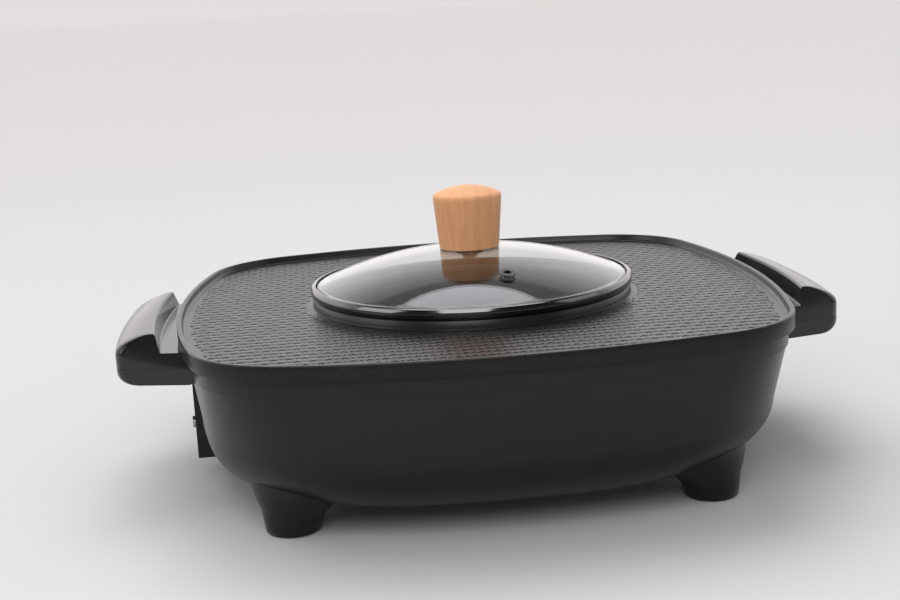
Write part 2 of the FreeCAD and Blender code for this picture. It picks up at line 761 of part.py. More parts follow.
def make_reflector():
    """A pressed steel tray, open side down, that keeps the heat off the housing's floor."""
    wall_radius = reflector_radius + reflector_sheet
    tray = turned("reflector_tray", [
        (0, reflector_top - reflector_sheet),
        (reflector_radius, reflector_top - reflector_sheet),
        (reflector_radius, floor_inside),
        (wall_radius + reflector_flange, floor_inside),
        (wall_radius + reflector_flange, floor_inside + reflector_sheet),
        (wall_radius, floor_inside + reflector_sheet),
        (wall_radius, reflector_top),
        (0, reflector_top),
    ])
    hole_place = wall_radius + reflector_flange / 2 + 0.3
    holes = []
    screws = []
    for index, (x, y) in enumerate(((1, 0), (0, 1), (-1, 0), (0, -1))):
        end = body_bottom - 2
        point = (x * hole_place, y * hole_place, end)
        holes.append(cylinder(f"reflector_hole_{index}", screw_hole, floor_inside - end + OVERCUT, point))
        top = (x * hole_place, y * hole_place, floor_inside + reflector_sheet)
        screws.append(screw(f"reflector_screw_{index}", top, "-z", floor_inside + reflector_sheet - end,
                            reflector_flange / 2 - 0.4))
    node("heat_reflector", cut("reflector", tray, *holes))
    node("reflector_screws", group("reflector_screw_group", screws))
    return holes


def make_heaters(hollow):
    """The pot's hotplate with its tube, and the griddle's tube on three brackets."""
    plate = cylinder("hotplate", hotplate_radius, hotplate_thickness, (0, 0, hotplate_bottom))
    node("pot_hotplate", plate)
    legs = []
    for index in range(3):
        angle = math.radians(90 + 120 * index)
        point = (hotplate_leg_place * math.cos(angle), hotplate_leg_place * math.sin(angle), reflector_top)
        legs.append(cylinder(f"hotplate_leg_{index}", hotplate_leg_radius, hotplate_bottom - reflector_top,
                             point))
    node("hotplate_legs", group("hotplate_leg_group", legs))
    node("pot_heater_tube", ring("pot_coil", pot_coil_radius, tube_radius,
                                 (0, 0, hotplate_bottom - tube_radius)))

    coil_level = plate_bottom - grill_coil_drop - tube_radius
    coil = ring("grill_coil", grill_coil_radius, tube_radius, (0, 0, coil_level))
    room = 2 * tube_radius
    opening = block("grill_coil_opening", (-coil_end_place, grill_coil_radius - room, coil_level - room),
                    (coil_end_place, grill_coil_radius + room, coil_level + room))
    open_coil = cut("grill_coil_open", coil, opening)
    depth = Length(math.sqrt(grill_coil_radius.value ** 2 - coil_end_place.value ** 2),
                   f"sqrt({(grill_coil_radius * grill_coil_radius - coil_end_place * coil_end_place).text})")
    end_radius = tube_radius + coil_end_wall
    ends = []
    bushings = []
    for x in SIGNS:
        tag = "a" if x < 0 else "b"
        point = (x * coil_end_place, depth, coil_level - coil_end_length)
        ends.append(cylinder("coil_end_" + tag, end_radius, coil_end_length + end_radius, point))
        outside = cylinder("bushing_outside_" + tag, bushing_radius, bushing_length, point)
        inside = cylinder("bushing_inside_" + tag, end_radius, bushing_length, point)
        bushings.append(cut("bushing_" + tag, outside, inside))
    node("grill_heater_tube", fuse("grill_heater", open_coil, *ends))
    node("heater_bushings", group("bushing_group", bushings))
    top = coil_level - tube_radius
    bottom = top - bracket_thickness
    inner = grill_coil_radius - bracket_overlap
    half = bracket_width / 2
    strips = [
        block("strip_right", (inner, -half, bottom), (pan_half, half, top)),
        block("strip_left", (-pan_half, -half, bottom), (-inner, half, top)),
        block("strip_front", (-half, -pan_half, bottom), (half, -inner, top)),
    ]
    brackets = [common(strip.Name + "_fitted", strip, hollow) for strip in strips]
    node("heater_brackets", group("bracket_group", brackets))


def make_controls(hollow):
    """Back control panel with two thermostats, their dials and two indicator lamps."""
    panel_back = panel_face - panel_depth
    plate_back = panel_back - bracket_thickness
    panel_top = panel_bottom + panel_height
    outside = block("panel_outside", (-panel_half, panel_back, panel_bottom),
                    (panel_half, panel_face, panel_top))
    inside = block("panel_inside", (panel_wall - panel_half, panel_back - 1, panel_bottom + panel_wall),
                   (panel_half - panel_wall, panel_face - panel_wall, panel_top - panel_wall))
    plate_block = block("bracket_plate_block", (-bracket_plate_half, plate_back, floor_inside),
                        (bracket_plate_half, panel_back, floor_inside + bracket_plate_height))
    plate = common("bracket_plate_fitted", plate_block, hollow)
    panel_holes = []
    plate_holes = []
    for x, name in ((-1, "grill"), (1, "pot")):
        centre = x * dial_place
        bushing_hole = thermostat_bushing_radius + screw_clearance
        plate_holes.append(cylinder(name + "_bushing_hole", bushing_hole, bracket_thickness + 2,
                                    (centre, plate_back - 1, dial_height), "y"))
        panel_holes.append(cylinder(name + "_shaft_hole", shaft_radius + 1, panel_wall + 2,
                                    (centre, panel_face - panel_wall - 1, dial_height), "y"))
        make_thermostat(name, centre, plate_back)
        make_dial(name, centre, plate_back)
    lenses = []
    lamps = []
    for x in SIGNS:
        tag = "a" if x < 0 else "b"
        point = (x * lens_place, panel_face - panel_wall, lens_height)
        lens = cylinder("lens_" + tag, lens_radius, panel_wall + lens_rise, point, "y")
        panel_holes.append(cylinder("lens_hole_" + tag, lens_radius, panel_wall + 1, point, "y"))
        lenses.append(lens)
        lamps.append(cylinder("lamp_" + tag, lens_radius, lamp_length,
                              (x * lens_place, panel_face - panel_wall - lamp_length, lens_height), "y"))
    node("indicator_lenses", group("lens_group", lenses))
    node("indicator_lamps", group("lamp_group", lamps))
    screws = []
    for x in SIGNS:
        tag = "a" if x < 0 else "b"
        corner = x * (panel_half - screw_head_radius - panel_wall)
        level = panel_bottom + panel_height / 2
        screws.append(screw("panel_screw_" + tag, (corner, panel_face, level), "-y", panel_depth + 4))
        hole = cylinder("panel_screw_hole_" + tag, screw_hole, panel_depth + 8,
                        (corner, panel_face + 1, level), "-y")
        panel_holes.append(hole)
        plate_holes.append(hole)
    node("control_panel", cut("panel", outside, inside, *panel_holes))
    node("panel_screws", group("panel_screw_group", screws))
    node("control_bracket", cut("bracket_plate", plate, *plate_holes))
    return block("panel_window", (-panel_half, panel_back, panel_bottom), (panel_half, pan_half, panel_top))


def make_thermostat(name, centre, plate_back):
    half = thermostat_width / 2
    case = block(name + "_case", (centre - half, plate_back - thermostat_depth, dial_height - half),
                 (centre + half, plate_back, dial_height + half))
    bushing = cylinder(name + "_bushing", thermostat_bushing_radius, thermostat_bushing_length,
                       (centre, plate_back, dial_height), "y")
    bore = cylinder(name + "_bore", shaft_radius + shaft_clearance,
                    shaft_engagement + thermostat_bushing_length + 1,
                    (centre, plate_back - shaft_engagement, dial_height), "y")
    node(name + "_thermostat", cut(name + "_thermostat_cut", fuse(name + "_thermostat_solid", case, bushing),
                                   bore))


def make_dial(name, centre, plate_back):
    """A dial with a grip bar on a steel shaft that turns in its thermostat."""
    start = panel_face + dial_gap
    shaft_start = plate_back - shaft_engagement + lift_gap
    shaft = cylinder(name + "_shaft_rod", shaft_radius, start + dial_depth - 3 - shaft_start,
                     (centre, shaft_start, dial_height), "y")
    node(name + "_dial_shaft", shaft)
    skirt = cylinder(name + "_dial_skirt", dial_radius, dial_skirt, (centre, start, dial_height), "y")
    grip = cone(name + "_dial_grip", dial_grip_radius, dial_grip_radius - 1, dial_depth - dial_skirt,
                (centre, start + dial_skirt, dial_height), "y")
    bar_half = dial_grip_radius / 3
    sides = []
    for x in SIGNS:
        tag = "a" if x < 0 else "b"
        near = centre + x * bar_half
        far = centre + x * (dial_grip_radius + 1)
        low_x, high_x = (far, near) if x < 0 else (near, far)
        low = (low_x, start + dial_skirt + 2, dial_height - dial_radius)
        high = (high_x, start + dial_depth + 1, dial_height + dial_radius)
        sides.append(block(f"{name}_grip_side_{tag}", low, high))
    solid = fuse(name + "_dial_solid", skirt, cut(name + "_grip_bar", grip, *sides))
    hole = cylinder(name + "_dial_hole", shaft_radius, dial_depth - 3, (centre, start, dial_height), "y")
    node(name + "_dial", cut(name + "_dial_cut", solid, hole))


def make_inlet(outer):
    """Power inlet on the left end: a block that fills the bowl's undercut, and a socket with three pins."""
    block_form = block("inlet_block", (-inlet_face, -inlet_half, inlet_bottom),
                       (-bottom_opening_radius, inlet_half, inlet_top))
    low = socket_height - socket_half_height
    high = socket_height + socket_half_height
    socket_back = socket_depth - inlet_face
    socket = block("socket_form", (-inlet_face, -socket_half_width, low),
                   (socket_back, socket_half_width, high))
    recess = block("socket_recess", (-inlet_face - 1, socket_wall - socket_half_width, low + socket_wall),
                   (recess_depth - inlet_face, socket_half_width - socket_wall, high - socket_wall))
    screws = []
    holes = []
    for y in SIGNS:
        tag = "a" if y < 0 else "b"
        side = y * (socket_half_width + inlet_half) / 2
        point = (-inlet_face, side, socket_height)
        screws.append(screw("inlet_screw_" + tag, point, "x", screw_grip + inlet_screw_reach))
        holes.append(cylinder("inlet_hole_" + tag, screw_hole,
                              screw_grip + inlet_screw_reach + screw_head_height, point, "x"))
    node("inlet_housing", cut("inlet_housing_cut", block_form, outer, socket, *holes))
    node("inlet_screws", group("inlet_screw_group", screws))
    pins = []
    floor = recess_depth - inlet_face
    pin_level = socket_height - pin_drop
    for index, (y, z) in enumerate(((-pin_spacing, pin_level), (length(0), socket_height + earth_pin_rise),
                                    (pin_spacing, pin_level))):
        start = (floor - pin_length, y - pin_thickness / 2, z - pin_width / 2)
        end = (socket_back + pin_tail, y + pin_thickness / 2, z + pin_width / 2)
        pins.append(block(f"pin_{index}", start, end))
    node("inlet_socket", cut("socket", socket, recess, *pins))
    node("inlet_pins", group("pin_group", pins))
    return [socket] + holes


def make_small_parts():
    """Terminal block, thermal fuse and the leads from the inlet, all on the reflector."""
    level = reflector_top + wire_rise
    case = block("terminal_case", (-terminal_x, -terminal_half_width, reflector_top),
                 (terminal_depth - terminal_x, terminal_half_width, reflector_top + terminal_height))
    node("terminal_block", case)
    wires = []
    start = socket_depth - inlet_face
    for index, y in enumerate((-pin_spacing - 3, length(0), pin_spacing + 3)):
        wires.append(cylinder(f"lead_{index}", wire_radius, -terminal_x - start, (start, y, level), "x"))
    node("inlet_leads", group("lead_group", wires))
    fuse_level = reflector_top + fuse_rise + fuse_radius
    fuse_body = cylinder("fuse_body", fuse_radius, fuse_length, (-fuse_length / 2, -fuse_place, fuse_level),
                         "x")
    node("thermal_fuse", fuse_body)
    clip_half_depth = fuse_radius + clip_wall
    clip_outside = block("clip_outside", (-clip_half_width, -fuse_place - clip_half_depth, reflector_top),
                         (clip_half_width, clip_half_depth - fuse_place, fuse_level + clip_half_depth))
    node("fuse_clip", cut("clip", clip_outside, fuse_body))


def make_lid():
    """Glass dome in a steel band, with a steel vent eyelet."""
    inner_sphere_radius = dome_radius - glass_thickness
    centre = (0, 0, dome_centre)
    outside = sphere("dome_outside", dome_radius, centre)
    inside = sphere("dome_inside", inner_sphere_radius, centre)
    edge = cylinder("glass_edge", glass_edge_radius, dome_rise * 3, (0, 0, glass_edge_top - dome_rise))
    shell = common("dome_shell", cut("dome_walls", outside, inside), edge)
    knob_hole = cylinder("glass_knob_hole", knob_screw_radius + 1, glass_thickness + 2 * OVERCUT,
                         (0, 0, dome_top - glass_thickness - OVERCUT))
    place_radius = math.hypot(vent_x.value, vent_y.value)
    tilt = math.degrees(math.asin(place_radius / dome_radius.value))
    turn = FreeCAD.Rotation(V(-vent_y.value, vent_x.value, 0), tilt)
    seat = dome_centre + dome_radius * math.cos(math.radians(tilt))

    def on_dome(obj, along):
        """Stand a vent piece on the dome, a distance along the dome's own normal."""
        direction = turn.multVec(V(0, 0, 1))
        distance = length(along)
        base = (vent_x + distance * direction.x, vent_y + distance * direction.y,
                seat + distance * direction.z)
        place(obj, base)
        obj.Placement.Rotation = turn
        return obj

    tube_radius_outside = vent_hole_radius + vent_tube_wall
    glass_gap = 0.1
    vent_bore = on_dome(cylinder("vent_bore", tube_radius_outside + glass_gap, glass_thickness + 4,
                                 (0, 0, 0)),
                        -glass_thickness - 2)
    node("lid_glass", cut("glass", shell, knob_hole, vent_bore))
    bottom = -glass_thickness - glass_gap - vent_flange_thickness
    tube = on_dome(cylinder("vent_tube", tube_radius_outside,
                            glass_thickness + 2 * (vent_flange_thickness + glass_gap),
                            (0, 0, 0)), bottom)
    top_flange = on_dome(cylinder("vent_top", vent_flange_radius, vent_flange_thickness, (0, 0, 0)),
                         glass_gap)
    low_flange = on_dome(cylinder("vent_low", vent_flange_radius, vent_flange_thickness, (0, 0, 0)), bottom)
    hole = on_dome(cylinder("vent_hole", vent_hole_radius, glass_thickness + 8, (0, 0, 0)), bottom - 2)
    node("vent_eyelet", cut("eyelet", fuse("eyelet_solid", tube, top_flange, low_flange), hole))

    band_top = lid_bottom + lid_band_height
    lip_outside = pot_radius + collar_rebate_width - locating_lip_gap
    lip_inside = lip_outside - locating_lip_width
    band = turned("lid_band", [
        (lip_inside, lid_bottom - locating_lip),
        (lip_outside, lid_bottom - locating_lip),
        (lip_outside, lid_bottom),
        (lid_radius - lid_band_bulge, lid_bottom),
        (lid_radius, lid_bottom + lid_band_chamfer),
        (lid_radius, band_top - lid_band_chamfer),
        (lid_radius - lid_band_bulge, band_top),
        (lid_radius - lid_lip_width, band_top + lid_lip_rise),
        (lid_radius - lid_lip_width, lid_bottom + lid_lip_thickness),
        (lip_inside, lid_bottom + lid_lip_thickness),
    ])
    node("lid_rim", cut("rim", band, shell))
    return outside


def make_knob(dome):
    """Turned beech knob, seated on the glass and held by a screw in a brass insert."""
    seat = dome_top - 3
    slope = (knob_top_radius - knob_bottom_radius) / knob_height
    top = dome_top + knob_height
    full_height = top - seat
    blank = cone("knob_blank", knob_bottom_radius - 3 * slope, knob_top_radius, full_height, (0, 0, seat))
    crown = sphere("knob_crown", knob_crown_radius, (0, 0, top - knob_crown_radius))
    crowned = common("knob_crowned", blank, crown)
    doc.recompute()
    shoulder = [index + 1 for index, edge in enumerate(crowned.Shape.Edges)
                if edge.BoundBox.ZLength < 0.01 and edge.BoundBox.ZMin > dome_top.value + knob_height.value / 2]
    eased = doc.addObject("Part::Fillet", "knob_eased")
    eased.Base = crowned
    eased.Edges = [(index, knob_edge_radius.value, knob_edge_radius.value) for index in shoulder]
    bottom = dome_top + insert_start
    bore = cylinder("knob_bore", insert_radius, OVERCUT + insert_start + insert_length + 1,
                    (0, 0, dome_top - OVERCUT))
    node("knob", cut("knob_cut", eased, dome, bore))
    insert_outside = cylinder("insert_outside", insert_radius, insert_length, (0, 0, bottom))
    insert_inside = cylinder("insert_inside", knob_screw_radius + screw_clearance, insert_length + 2,
                             (0, 0, bottom - 1))
    node("knob_insert", cut("insert", insert_outside, insert_inside))
    under_glass = dome_top - glass_thickness - 0.2
    seal_bottom = under_glass - knob_washer_thickness
    washer_bottom = seal_bottom - knob_washer_thickness
    for name, low, radius in (("knob_seal", seal_bottom, knob_washer_radius - 0.5),
                              ("knob_washer", washer_bottom, knob_washer_radius)):
        disc = cylinder(name + "_disc", radius, knob_washer_thickness, (0, 0, low))
        hole = cylinder(name + "_hole", knob_screw_radius + 0.2, knob_washer_thickness + 2, (0, 0, low - 1))
        node(name, cut(name + "_cut", disc, hole))
    shank = cylinder("knob_screw_shank", knob_screw_radius, bottom + insert_length - 3 - washer_bottom,
                     (0, 0, washer_bottom))
    head = cone("knob_screw_head", knob_screw_head_radius - 1.5, knob_screw_head_radius,
                knob_screw_head_height,
                (0, 0, washer_bottom - knob_screw_head_height))
    node("knob_screw", fuse("knob_screw_solid", shank, head))


def save():
    """Check every object, then write one file for each node."""
    doc.recompute()
    for obj in doc.Objects:
        if "Invalid" in obj.State or "Error" in obj.State:
            raise RuntimeError(f"{obj.Label} failed: {obj.State}")
    os.makedirs("parts", exist_ok=True)
    for name, obj in nodes.items():
        shape = obj.Shape
        if shape.isNull() or not shape.isValid() or not shape.Solids:
            raise RuntimeError(f"{name} has no valid solid")
        shape.exportStep(f"parts/{name}.step")
        print(name, len(shape.Solids), round(shape.Volume, 1))


make_pan()
shell_outer, shell_hollow = make_shell_forms()
bottom_opening = cylinder("bottom_opening", bottom_opening_radius, shell_wall + 2, (0, 0, body_bottom - 1))
shell_cuts = [shell_hollow, bottom_opening]
shell_cuts += make_feet(shell_outer)
shell_cuts += make_handles(shell_outer)
shell_cuts += make_bottom()
shell_cuts += make_reflector()
shell_cuts.append(make_controls(shell_hollow))
shell_cuts += make_inlet(shell_outer)
node("housing_shell", cut("shell", shell_outer, *shell_cuts))
make_heaters(shell_hollow)
make_small_parts()
make_knob(make_lid())
save()
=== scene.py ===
import json
import math
import bmesh
import bpy
from mathutils import Matrix, Vector

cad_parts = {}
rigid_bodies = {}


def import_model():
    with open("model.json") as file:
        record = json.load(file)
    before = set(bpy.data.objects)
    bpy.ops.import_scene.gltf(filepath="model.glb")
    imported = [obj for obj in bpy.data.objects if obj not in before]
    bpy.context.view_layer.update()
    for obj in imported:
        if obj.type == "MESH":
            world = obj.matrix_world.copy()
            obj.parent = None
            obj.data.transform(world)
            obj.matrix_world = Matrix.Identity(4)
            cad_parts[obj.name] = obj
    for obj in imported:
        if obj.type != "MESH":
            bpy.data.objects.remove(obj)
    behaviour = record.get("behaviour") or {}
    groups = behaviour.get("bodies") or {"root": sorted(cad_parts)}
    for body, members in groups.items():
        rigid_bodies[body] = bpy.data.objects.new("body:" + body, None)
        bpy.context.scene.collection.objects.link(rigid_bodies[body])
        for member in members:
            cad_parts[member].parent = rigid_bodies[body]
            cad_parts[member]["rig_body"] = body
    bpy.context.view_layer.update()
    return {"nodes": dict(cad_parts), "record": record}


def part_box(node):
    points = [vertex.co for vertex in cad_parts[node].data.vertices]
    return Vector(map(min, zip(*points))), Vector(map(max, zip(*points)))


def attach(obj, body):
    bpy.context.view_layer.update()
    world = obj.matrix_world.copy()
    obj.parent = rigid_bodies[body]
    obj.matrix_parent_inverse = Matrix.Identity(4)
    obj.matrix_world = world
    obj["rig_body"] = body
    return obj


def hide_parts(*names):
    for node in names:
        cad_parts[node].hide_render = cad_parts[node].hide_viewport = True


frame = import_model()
CAD = frame["nodes"]

# Camera
# The photograph's view: in front, a little to the left and above, with a slight tilt of the horizon.
# The pot's axis, at the height of the pan's rim, lies at a known pixel and distance.
PHOTO_SIZE = (900, 600)
SENSOR_WIDTH = 36.0
focal_pixels = 1444.75
view_azimuth = math.radians(-5.29)
view_elevation = math.radians(11.71)
view_roll = math.radians(-3.06)
axis_point = Vector((0, 0, 0.105))
axis_pixel = (471.5, 287.8)
axis_distance = 0.9033
back = Vector((math.sin(view_azimuth) * math.cos(view_elevation),
               -math.cos(view_azimuth) * math.cos(view_elevation),
               math.sin(view_elevation)))
level_right = Vector((math.cos(view_azimuth), math.sin(view_azimuth), 0))
level_up = back.cross(level_right)
right = math.cos(view_roll) * level_right + math.sin(view_roll) * level_up
up = back.cross(right)
across = (axis_pixel[0] - PHOTO_SIZE[0] / 2) / focal_pixels * axis_distance
along = (PHOTO_SIZE[1] / 2 - axis_pixel[1]) / focal_pixels * axis_distance
camera_data = bpy.data.cameras.new("camera")
camera_data.sensor_width = SENSOR_WIDTH
camera_data.lens = focal_pixels / PHOTO_SIZE[0] * SENSOR_WIDTH
camera = bpy.data.objects.new("camera", camera_data)
turn = Matrix((right, up, back)).transposed().to_4x4()
camera_place = axis_point + back * axis_distance - right * across - up * along
camera.matrix_world = Matrix.Translation(camera_place) @ turn
bpy.context.scene.collection.objects.link(camera)
bpy.context.scene.camera = camera
bpy.context.scene.view_settings.view_transform = "Standard"

# Studio
# A pale paper floor, its colour painted darker near the pot as painted shade, a white surround
# that the camera and shiny surfaces see, four softboxes and a broad overhead light.
FLOOR_SIZE = 60.0
NEAR_REACH = 0.35
FAR_REACH = 2.4
# Near colour: the paper with painted shade, used close to the pot.
NEAR_PAPER_PAINTED_SHADE = (0.60, 0.594, 0.59)
FAR_PAPER = (0.803, 0.777, 0.762)
floor_mesh = bmesh.new()
bmesh.ops.create_grid(floor_mesh, x_segments=1, y_segments=1, size=FLOOR_SIZE)
floor_data = bpy.data.meshes.new("floor")
floor_mesh.to_mesh(floor_data)
floor = bpy.data.objects.new("floor", floor_data)
bpy.context.scene.collection.objects.link(floor)


def start_finish(name):
    """A new node material with its shader, and a node maker that wires what it is given."""
    finish = bpy.data.materials.new(name)
    finish.use_nodes = True
    tree = finish.node_tree
    shader = tree.nodes["Principled BSDF"]

    def node(kind, settings=None, **inputs):
        made = tree.nodes.new(kind)
        for key, value in (settings or {}).items():
            setattr(made, key, value)
        for key, value in inputs.items():
            numbered = key.startswith("i") and key[1:].isdigit()
            socket = made.inputs[int(key[1:])] if numbered else made.inputs[key]
            if isinstance(value, bpy.types.NodeSocket):
                tree.links.new(value, socket)
            else:
                socket.default_value = value
        return made

    return finish, shader, node, tree.links.new


def blend_colors(node, factor, first, second):
    """A mix of two colours by a factor socket."""
    mix = node("ShaderNodeMix", {"data_type": "RGBA"})
    mix.inputs["A"].default_value = (*first, 1)
    mix.inputs["B"].default_value = (*second, 1)
    mix.id_data.links.new(factor, mix.inputs["Factor"])
    return mix.outputs["Result"]


def spread(node, value, low, high, from_low=0.0, from_high=1.0):
    """A socket mapped to a range."""
    ranged = node("ShaderNodeMapRange")
    ranged.id_data.links.new(value, ranged.inputs["Value"])
    ranged.inputs["From Min"].default_value = from_low
    ranged.inputs["From Max"].default_value = from_high
    ranged.inputs["To Min"].default_value = low
    ranged.inputs["To Max"].default_value = high
    return ranged.outputs["Result"]


def noise(node, scale, detail=4.0, stretch=(1, 1, 1)):
    """Noise in the piece's own metres, stretched along an axis where that is wanted."""
    place = node("ShaderNodeTexCoord").outputs["Object"]
    mapping = node("ShaderNodeMapping", Vector=place)
    mapping.inputs["Scale"].default_value = stretch
    texture = node("ShaderNodeTexNoise", Vector=mapping.outputs["Vector"])
    texture.inputs["Scale"].default_value = scale
    texture.inputs["Detail"].default_value = detail
    return texture.outputs["Fac"]


def bump(node, link, shader, height, strength, distance):
    """A fine relief on the shader's normal."""
    relief = node("ShaderNodeBump")
    relief.inputs["Strength"].default_value = strength
    relief.inputs["Distance"].default_value = distance
    link(height, relief.inputs["Height"])
    link(relief.outputs["Normal"], shader.inputs["Normal"])


paper, shader, node, link = start_finish("floor_paper")
floor_place = node("ShaderNodeTexCoord").outputs["Object"]
reach = node("ShaderNodeVectorMath", {"operation": "LENGTH"}, i0=floor_place)
# The paper is painted darker near the pot and paler far off. This painted shade stands in for the fall of the
# lamps' light, and a faint random mottle lies on top.
painted_shade_fade = spread(node, reach.outputs["Value"], 0.0, 1.0, NEAR_REACH, FAR_REACH)
mottle_and_painted_shade = node("ShaderNodeMath", {"operation": "MULTIPLY_ADD"}, i0=noise(node, 3.0), i1=0.04, i2=painted_shade_fade)
link(blend_colors(node, mottle_and_painted_shade.outputs[0], NEAR_PAPER_PAINTED_SHADE, FAR_PAPER), shader.inputs["Base Color"])
shader.inputs["Roughness"].default_value = 0.85
floor.data.materials.append(paper)

world = bpy.data.worlds.new("studio")
bpy.context.scene.world = world
world.use_nodes = True
tree = world.node_tree
tree.nodes.clear()
rays = tree.nodes.new("ShaderNodeLightPath")
seen = tree.nodes.new("ShaderNodeMath")
seen.operation = "MAXIMUM"
tree.links.new(rays.outputs["Is Camera Ray"], seen.inputs[0])
tree.links.new(rays.outputs["Is Transmission Ray"], seen.inputs[1])
seen_too = tree.nodes.new("ShaderNodeMath")
seen_too.operation = "MAXIMUM"
tree.links.new(seen.outputs[0], seen_too.inputs[0])
tree.links.new(rays.outputs["Is Glossy Ray"], seen_too.inputs[1])
direction = tree.nodes.new("ShaderNodeTexCoord")
facing = tree.nodes.new("ShaderNodeSeparateXYZ")
tree.links.new(direction.outputs["Generated"], facing.inputs[0])
paper_sweep = tree.nodes.new("ShaderNodeMapRange")
paper_sweep.interpolation_type = "SMOOTHSTEP"
paper_sweep.inputs["From Min"].default_value = -0.1
paper_sweep.inputs["From Max"].default_value = 0.5
paper_sweep.inputs["To Min"].default_value = 0.08
paper_sweep.inputs["To Max"].default_value = 1.75
tree.links.new(facing.outputs["Y"], paper_sweep.inputs["Value"])
CEILING_STOPS = ((0.44, 1.0), (0.60, 0.55), (0.655, 0.30), (0.675, 0.01))
dark_ceiling = tree.nodes.new("ShaderNodeValToRGB")
for position, level in CEILING_STOPS:
    stop = dark_ceiling.color_ramp.elements.new(position)
    stop.color = (level, level, level, 1)
dark_ceiling.color_ramp.elements.remove(dark_ceiling.color_ramp.elements[0])
dark_ceiling.color_ramp.elements.remove(dark_ceiling.color_ramp.elements[-1])
tree.links.new(facing.outputs["Z"], dark_ceiling.inputs["Fac"])
room = tree.nodes.new("ShaderNodeMath")
room.operation = "MULTIPLY"
tree.links.new(paper_sweep.outputs["Result"], room.inputs[0])
tree.links.new(dark_ceiling.outputs["Color"], room.inputs[1])
brightness = tree.nodes.new("ShaderNodeMix")
brightness.inputs["B"].default_value = 1.0
tree.links.new(seen.outputs[0], brightness.inputs["Factor"])
tree.links.new(room.outputs[0], brightness.inputs["A"])
surround = tree.nodes.new("ShaderNodeBackground")
surround.inputs["Color"].default_value = (0.76, 0.735, 0.73, 1)
tree.links.new(brightness.outputs[0], surround.inputs["Strength"])
fill = tree.nodes.new("ShaderNodeBackground")
fill.inputs["Color"].default_value = (0.8, 0.8, 0.82, 1)
fill.inputs["Strength"].default_value = 0.62
chosen = tree.nodes.new("ShaderNodeMixShader")
output = tree.nodes.new("ShaderNodeOutputWorld")
tree.links.new(seen_too.outputs[0], chosen.inputs["Fac"])
tree.links.new(fill.outputs[0], chosen.inputs[1])
tree.links.new(surround.outputs[0], chosen.inputs[2])
tree.links.new(chosen.outputs[0], output.inputs["Surface"])


def soft_lamp(name, place, size, power):
    """A square softbox aimed at the pot."""
    data = bpy.data.lights.new(name, "AREA")
    data.shape = "SQUARE"
    data.size = size
    data.energy = power
    lamp = bpy.data.objects.new(name, data)
    lamp.location = place
    lamp.rotation_mode = "QUATERNION"
    lamp.rotation_quaternion = (Vector((0, 0, 0.08)) - Vector(place)).to_track_quat("-Z", "Y")
    bpy.context.scene.collection.objects.link(lamp)
    return lamp


SOFTBOXES = (
    ("rear_softbox", (0.04, 0.61, 1.45), 1.0, 5.3),
    ("left_softbox", (-1.5, -0.35, 0.75), 0.9, 4.5),
    ("right_softbox", (1.5, -0.35, 0.75), 0.9, 1.9),
    ("front_softbox", (-0.3, -1.4, 1.2), 1.0, 9.0))
softboxes = [soft_lamp(*row) for row in SOFTBOXES]
rear = softboxes[0]
rear.data.shape = "DISK"
rear.data.color = (0.95, 0.95, 1.0)
sky_data = bpy.data.lights.new("ceiling_bounce", "SUN")
sky_data.energy = 1.65
sky_data.angle = math.radians(60)
sky = bpy.data.objects.new("ceiling_bounce", sky_data)
sky.rotation_mode = "QUATERNION"
sky.rotation_quaternion = Vector((0.3, -0.5, -1)).to_track_quat("-Z", "Y")
sky.visible_glossy = False
sky.visible_transmission = False
bpy.context.scene.collection.objects.link(sky)

# Grill pan
# Cast aluminium plate and pot in one piece, machined at the rim, then coated with a flecked non-stick.
# Its outline is a square with bowed sides and round corners, and its skirt covers the housing's top.
MM = 0.001
COLLAR_PROUD = 1.2
pan_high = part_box("grill_pan")[1]
PAN_HALF = pan_high.y / MM
RIM_TOP = pan_high.z / MM - COLLAR_PROUD
SIDE_RADIUS = 515.0
CORNER_RADIUS = 66.0
ARC_STEPS = 16


def outline_points(inset, corner=None):
    """Points round the pan's outline, moved inwards: four bowed sides and four corner arcs."""
    half = PAN_HALF - inset
    side = SIDE_RADIUS - inset
    corner = corner or CORNER_RADIUS - inset
    centre = side - half
    corner_place = (math.sqrt(2 * (side - corner) ** 2 - centre ** 2) - centre) / 2
    swing = math.atan2(corner_place, corner_place + centre)
    points = []
    for turn in range(4):
        angle = turn * math.pi / 2
        for step in range(ARC_STEPS):
            a = angle - swing + 2 * swing * step / ARC_STEPS
            points.append((-centre * math.cos(angle) + side * math.cos(a),
                           -centre * math.sin(angle) + side * math.sin(a)))
        for step in range(ARC_STEPS):
            a = angle + swing + (math.pi / 2 - 2 * swing) * step / ARC_STEPS
            diagonal = angle + math.pi / 4
            reach = corner_place * math.sqrt(2)
            points.append((reach * math.cos(diagonal) + corner * math.cos(a),
                           reach * math.sin(diagonal) + corner * math.sin(a)))
    return points


def add_ring(bm, points, level):
    """A closed loop of edges through flat points at one level."""
    corners = [bm.verts.new((x, y, level)) for x, y in points]
    return [bm.edges.new((a, b)) for a, b in zip(corners, corners[1:] + corners[:1])]


def square_ring(bm, inset, level):
    return add_ring(bm, outline_points(inset), level)


def round_ring(bm, radius, level):
    """A circle with its points on the same rays as the pan's outline."""
    angles = [math.atan2(y, x) for x, y in outline_points(0)]
    return add_ring(bm, [(radius * math.cos(a), radius * math.sin(a)) for a in angles], level)


def skin(bm, rings, closed=False):
    """Bridge each ring to the next."""
    pairs = list(zip(rings, rings[1:]))
    if closed:
        pairs.append((rings[-1], rings[0]))
    for first, second in pairs:
        bmesh.ops.bridge_loops(bm, edges=first + second)


def set_smooth(bm, sharp_degrees):
    """Round shading, broken at edges sharper than an angle."""
    bm.normal_update()
    limit = math.radians(sharp_degrees)
    for face in bm.faces:
        face.smooth = True
    for edge in bm.edges:
        edge.smooth = len(edge.link_faces) == 2 and edge.calc_face_angle(0.0) < limit


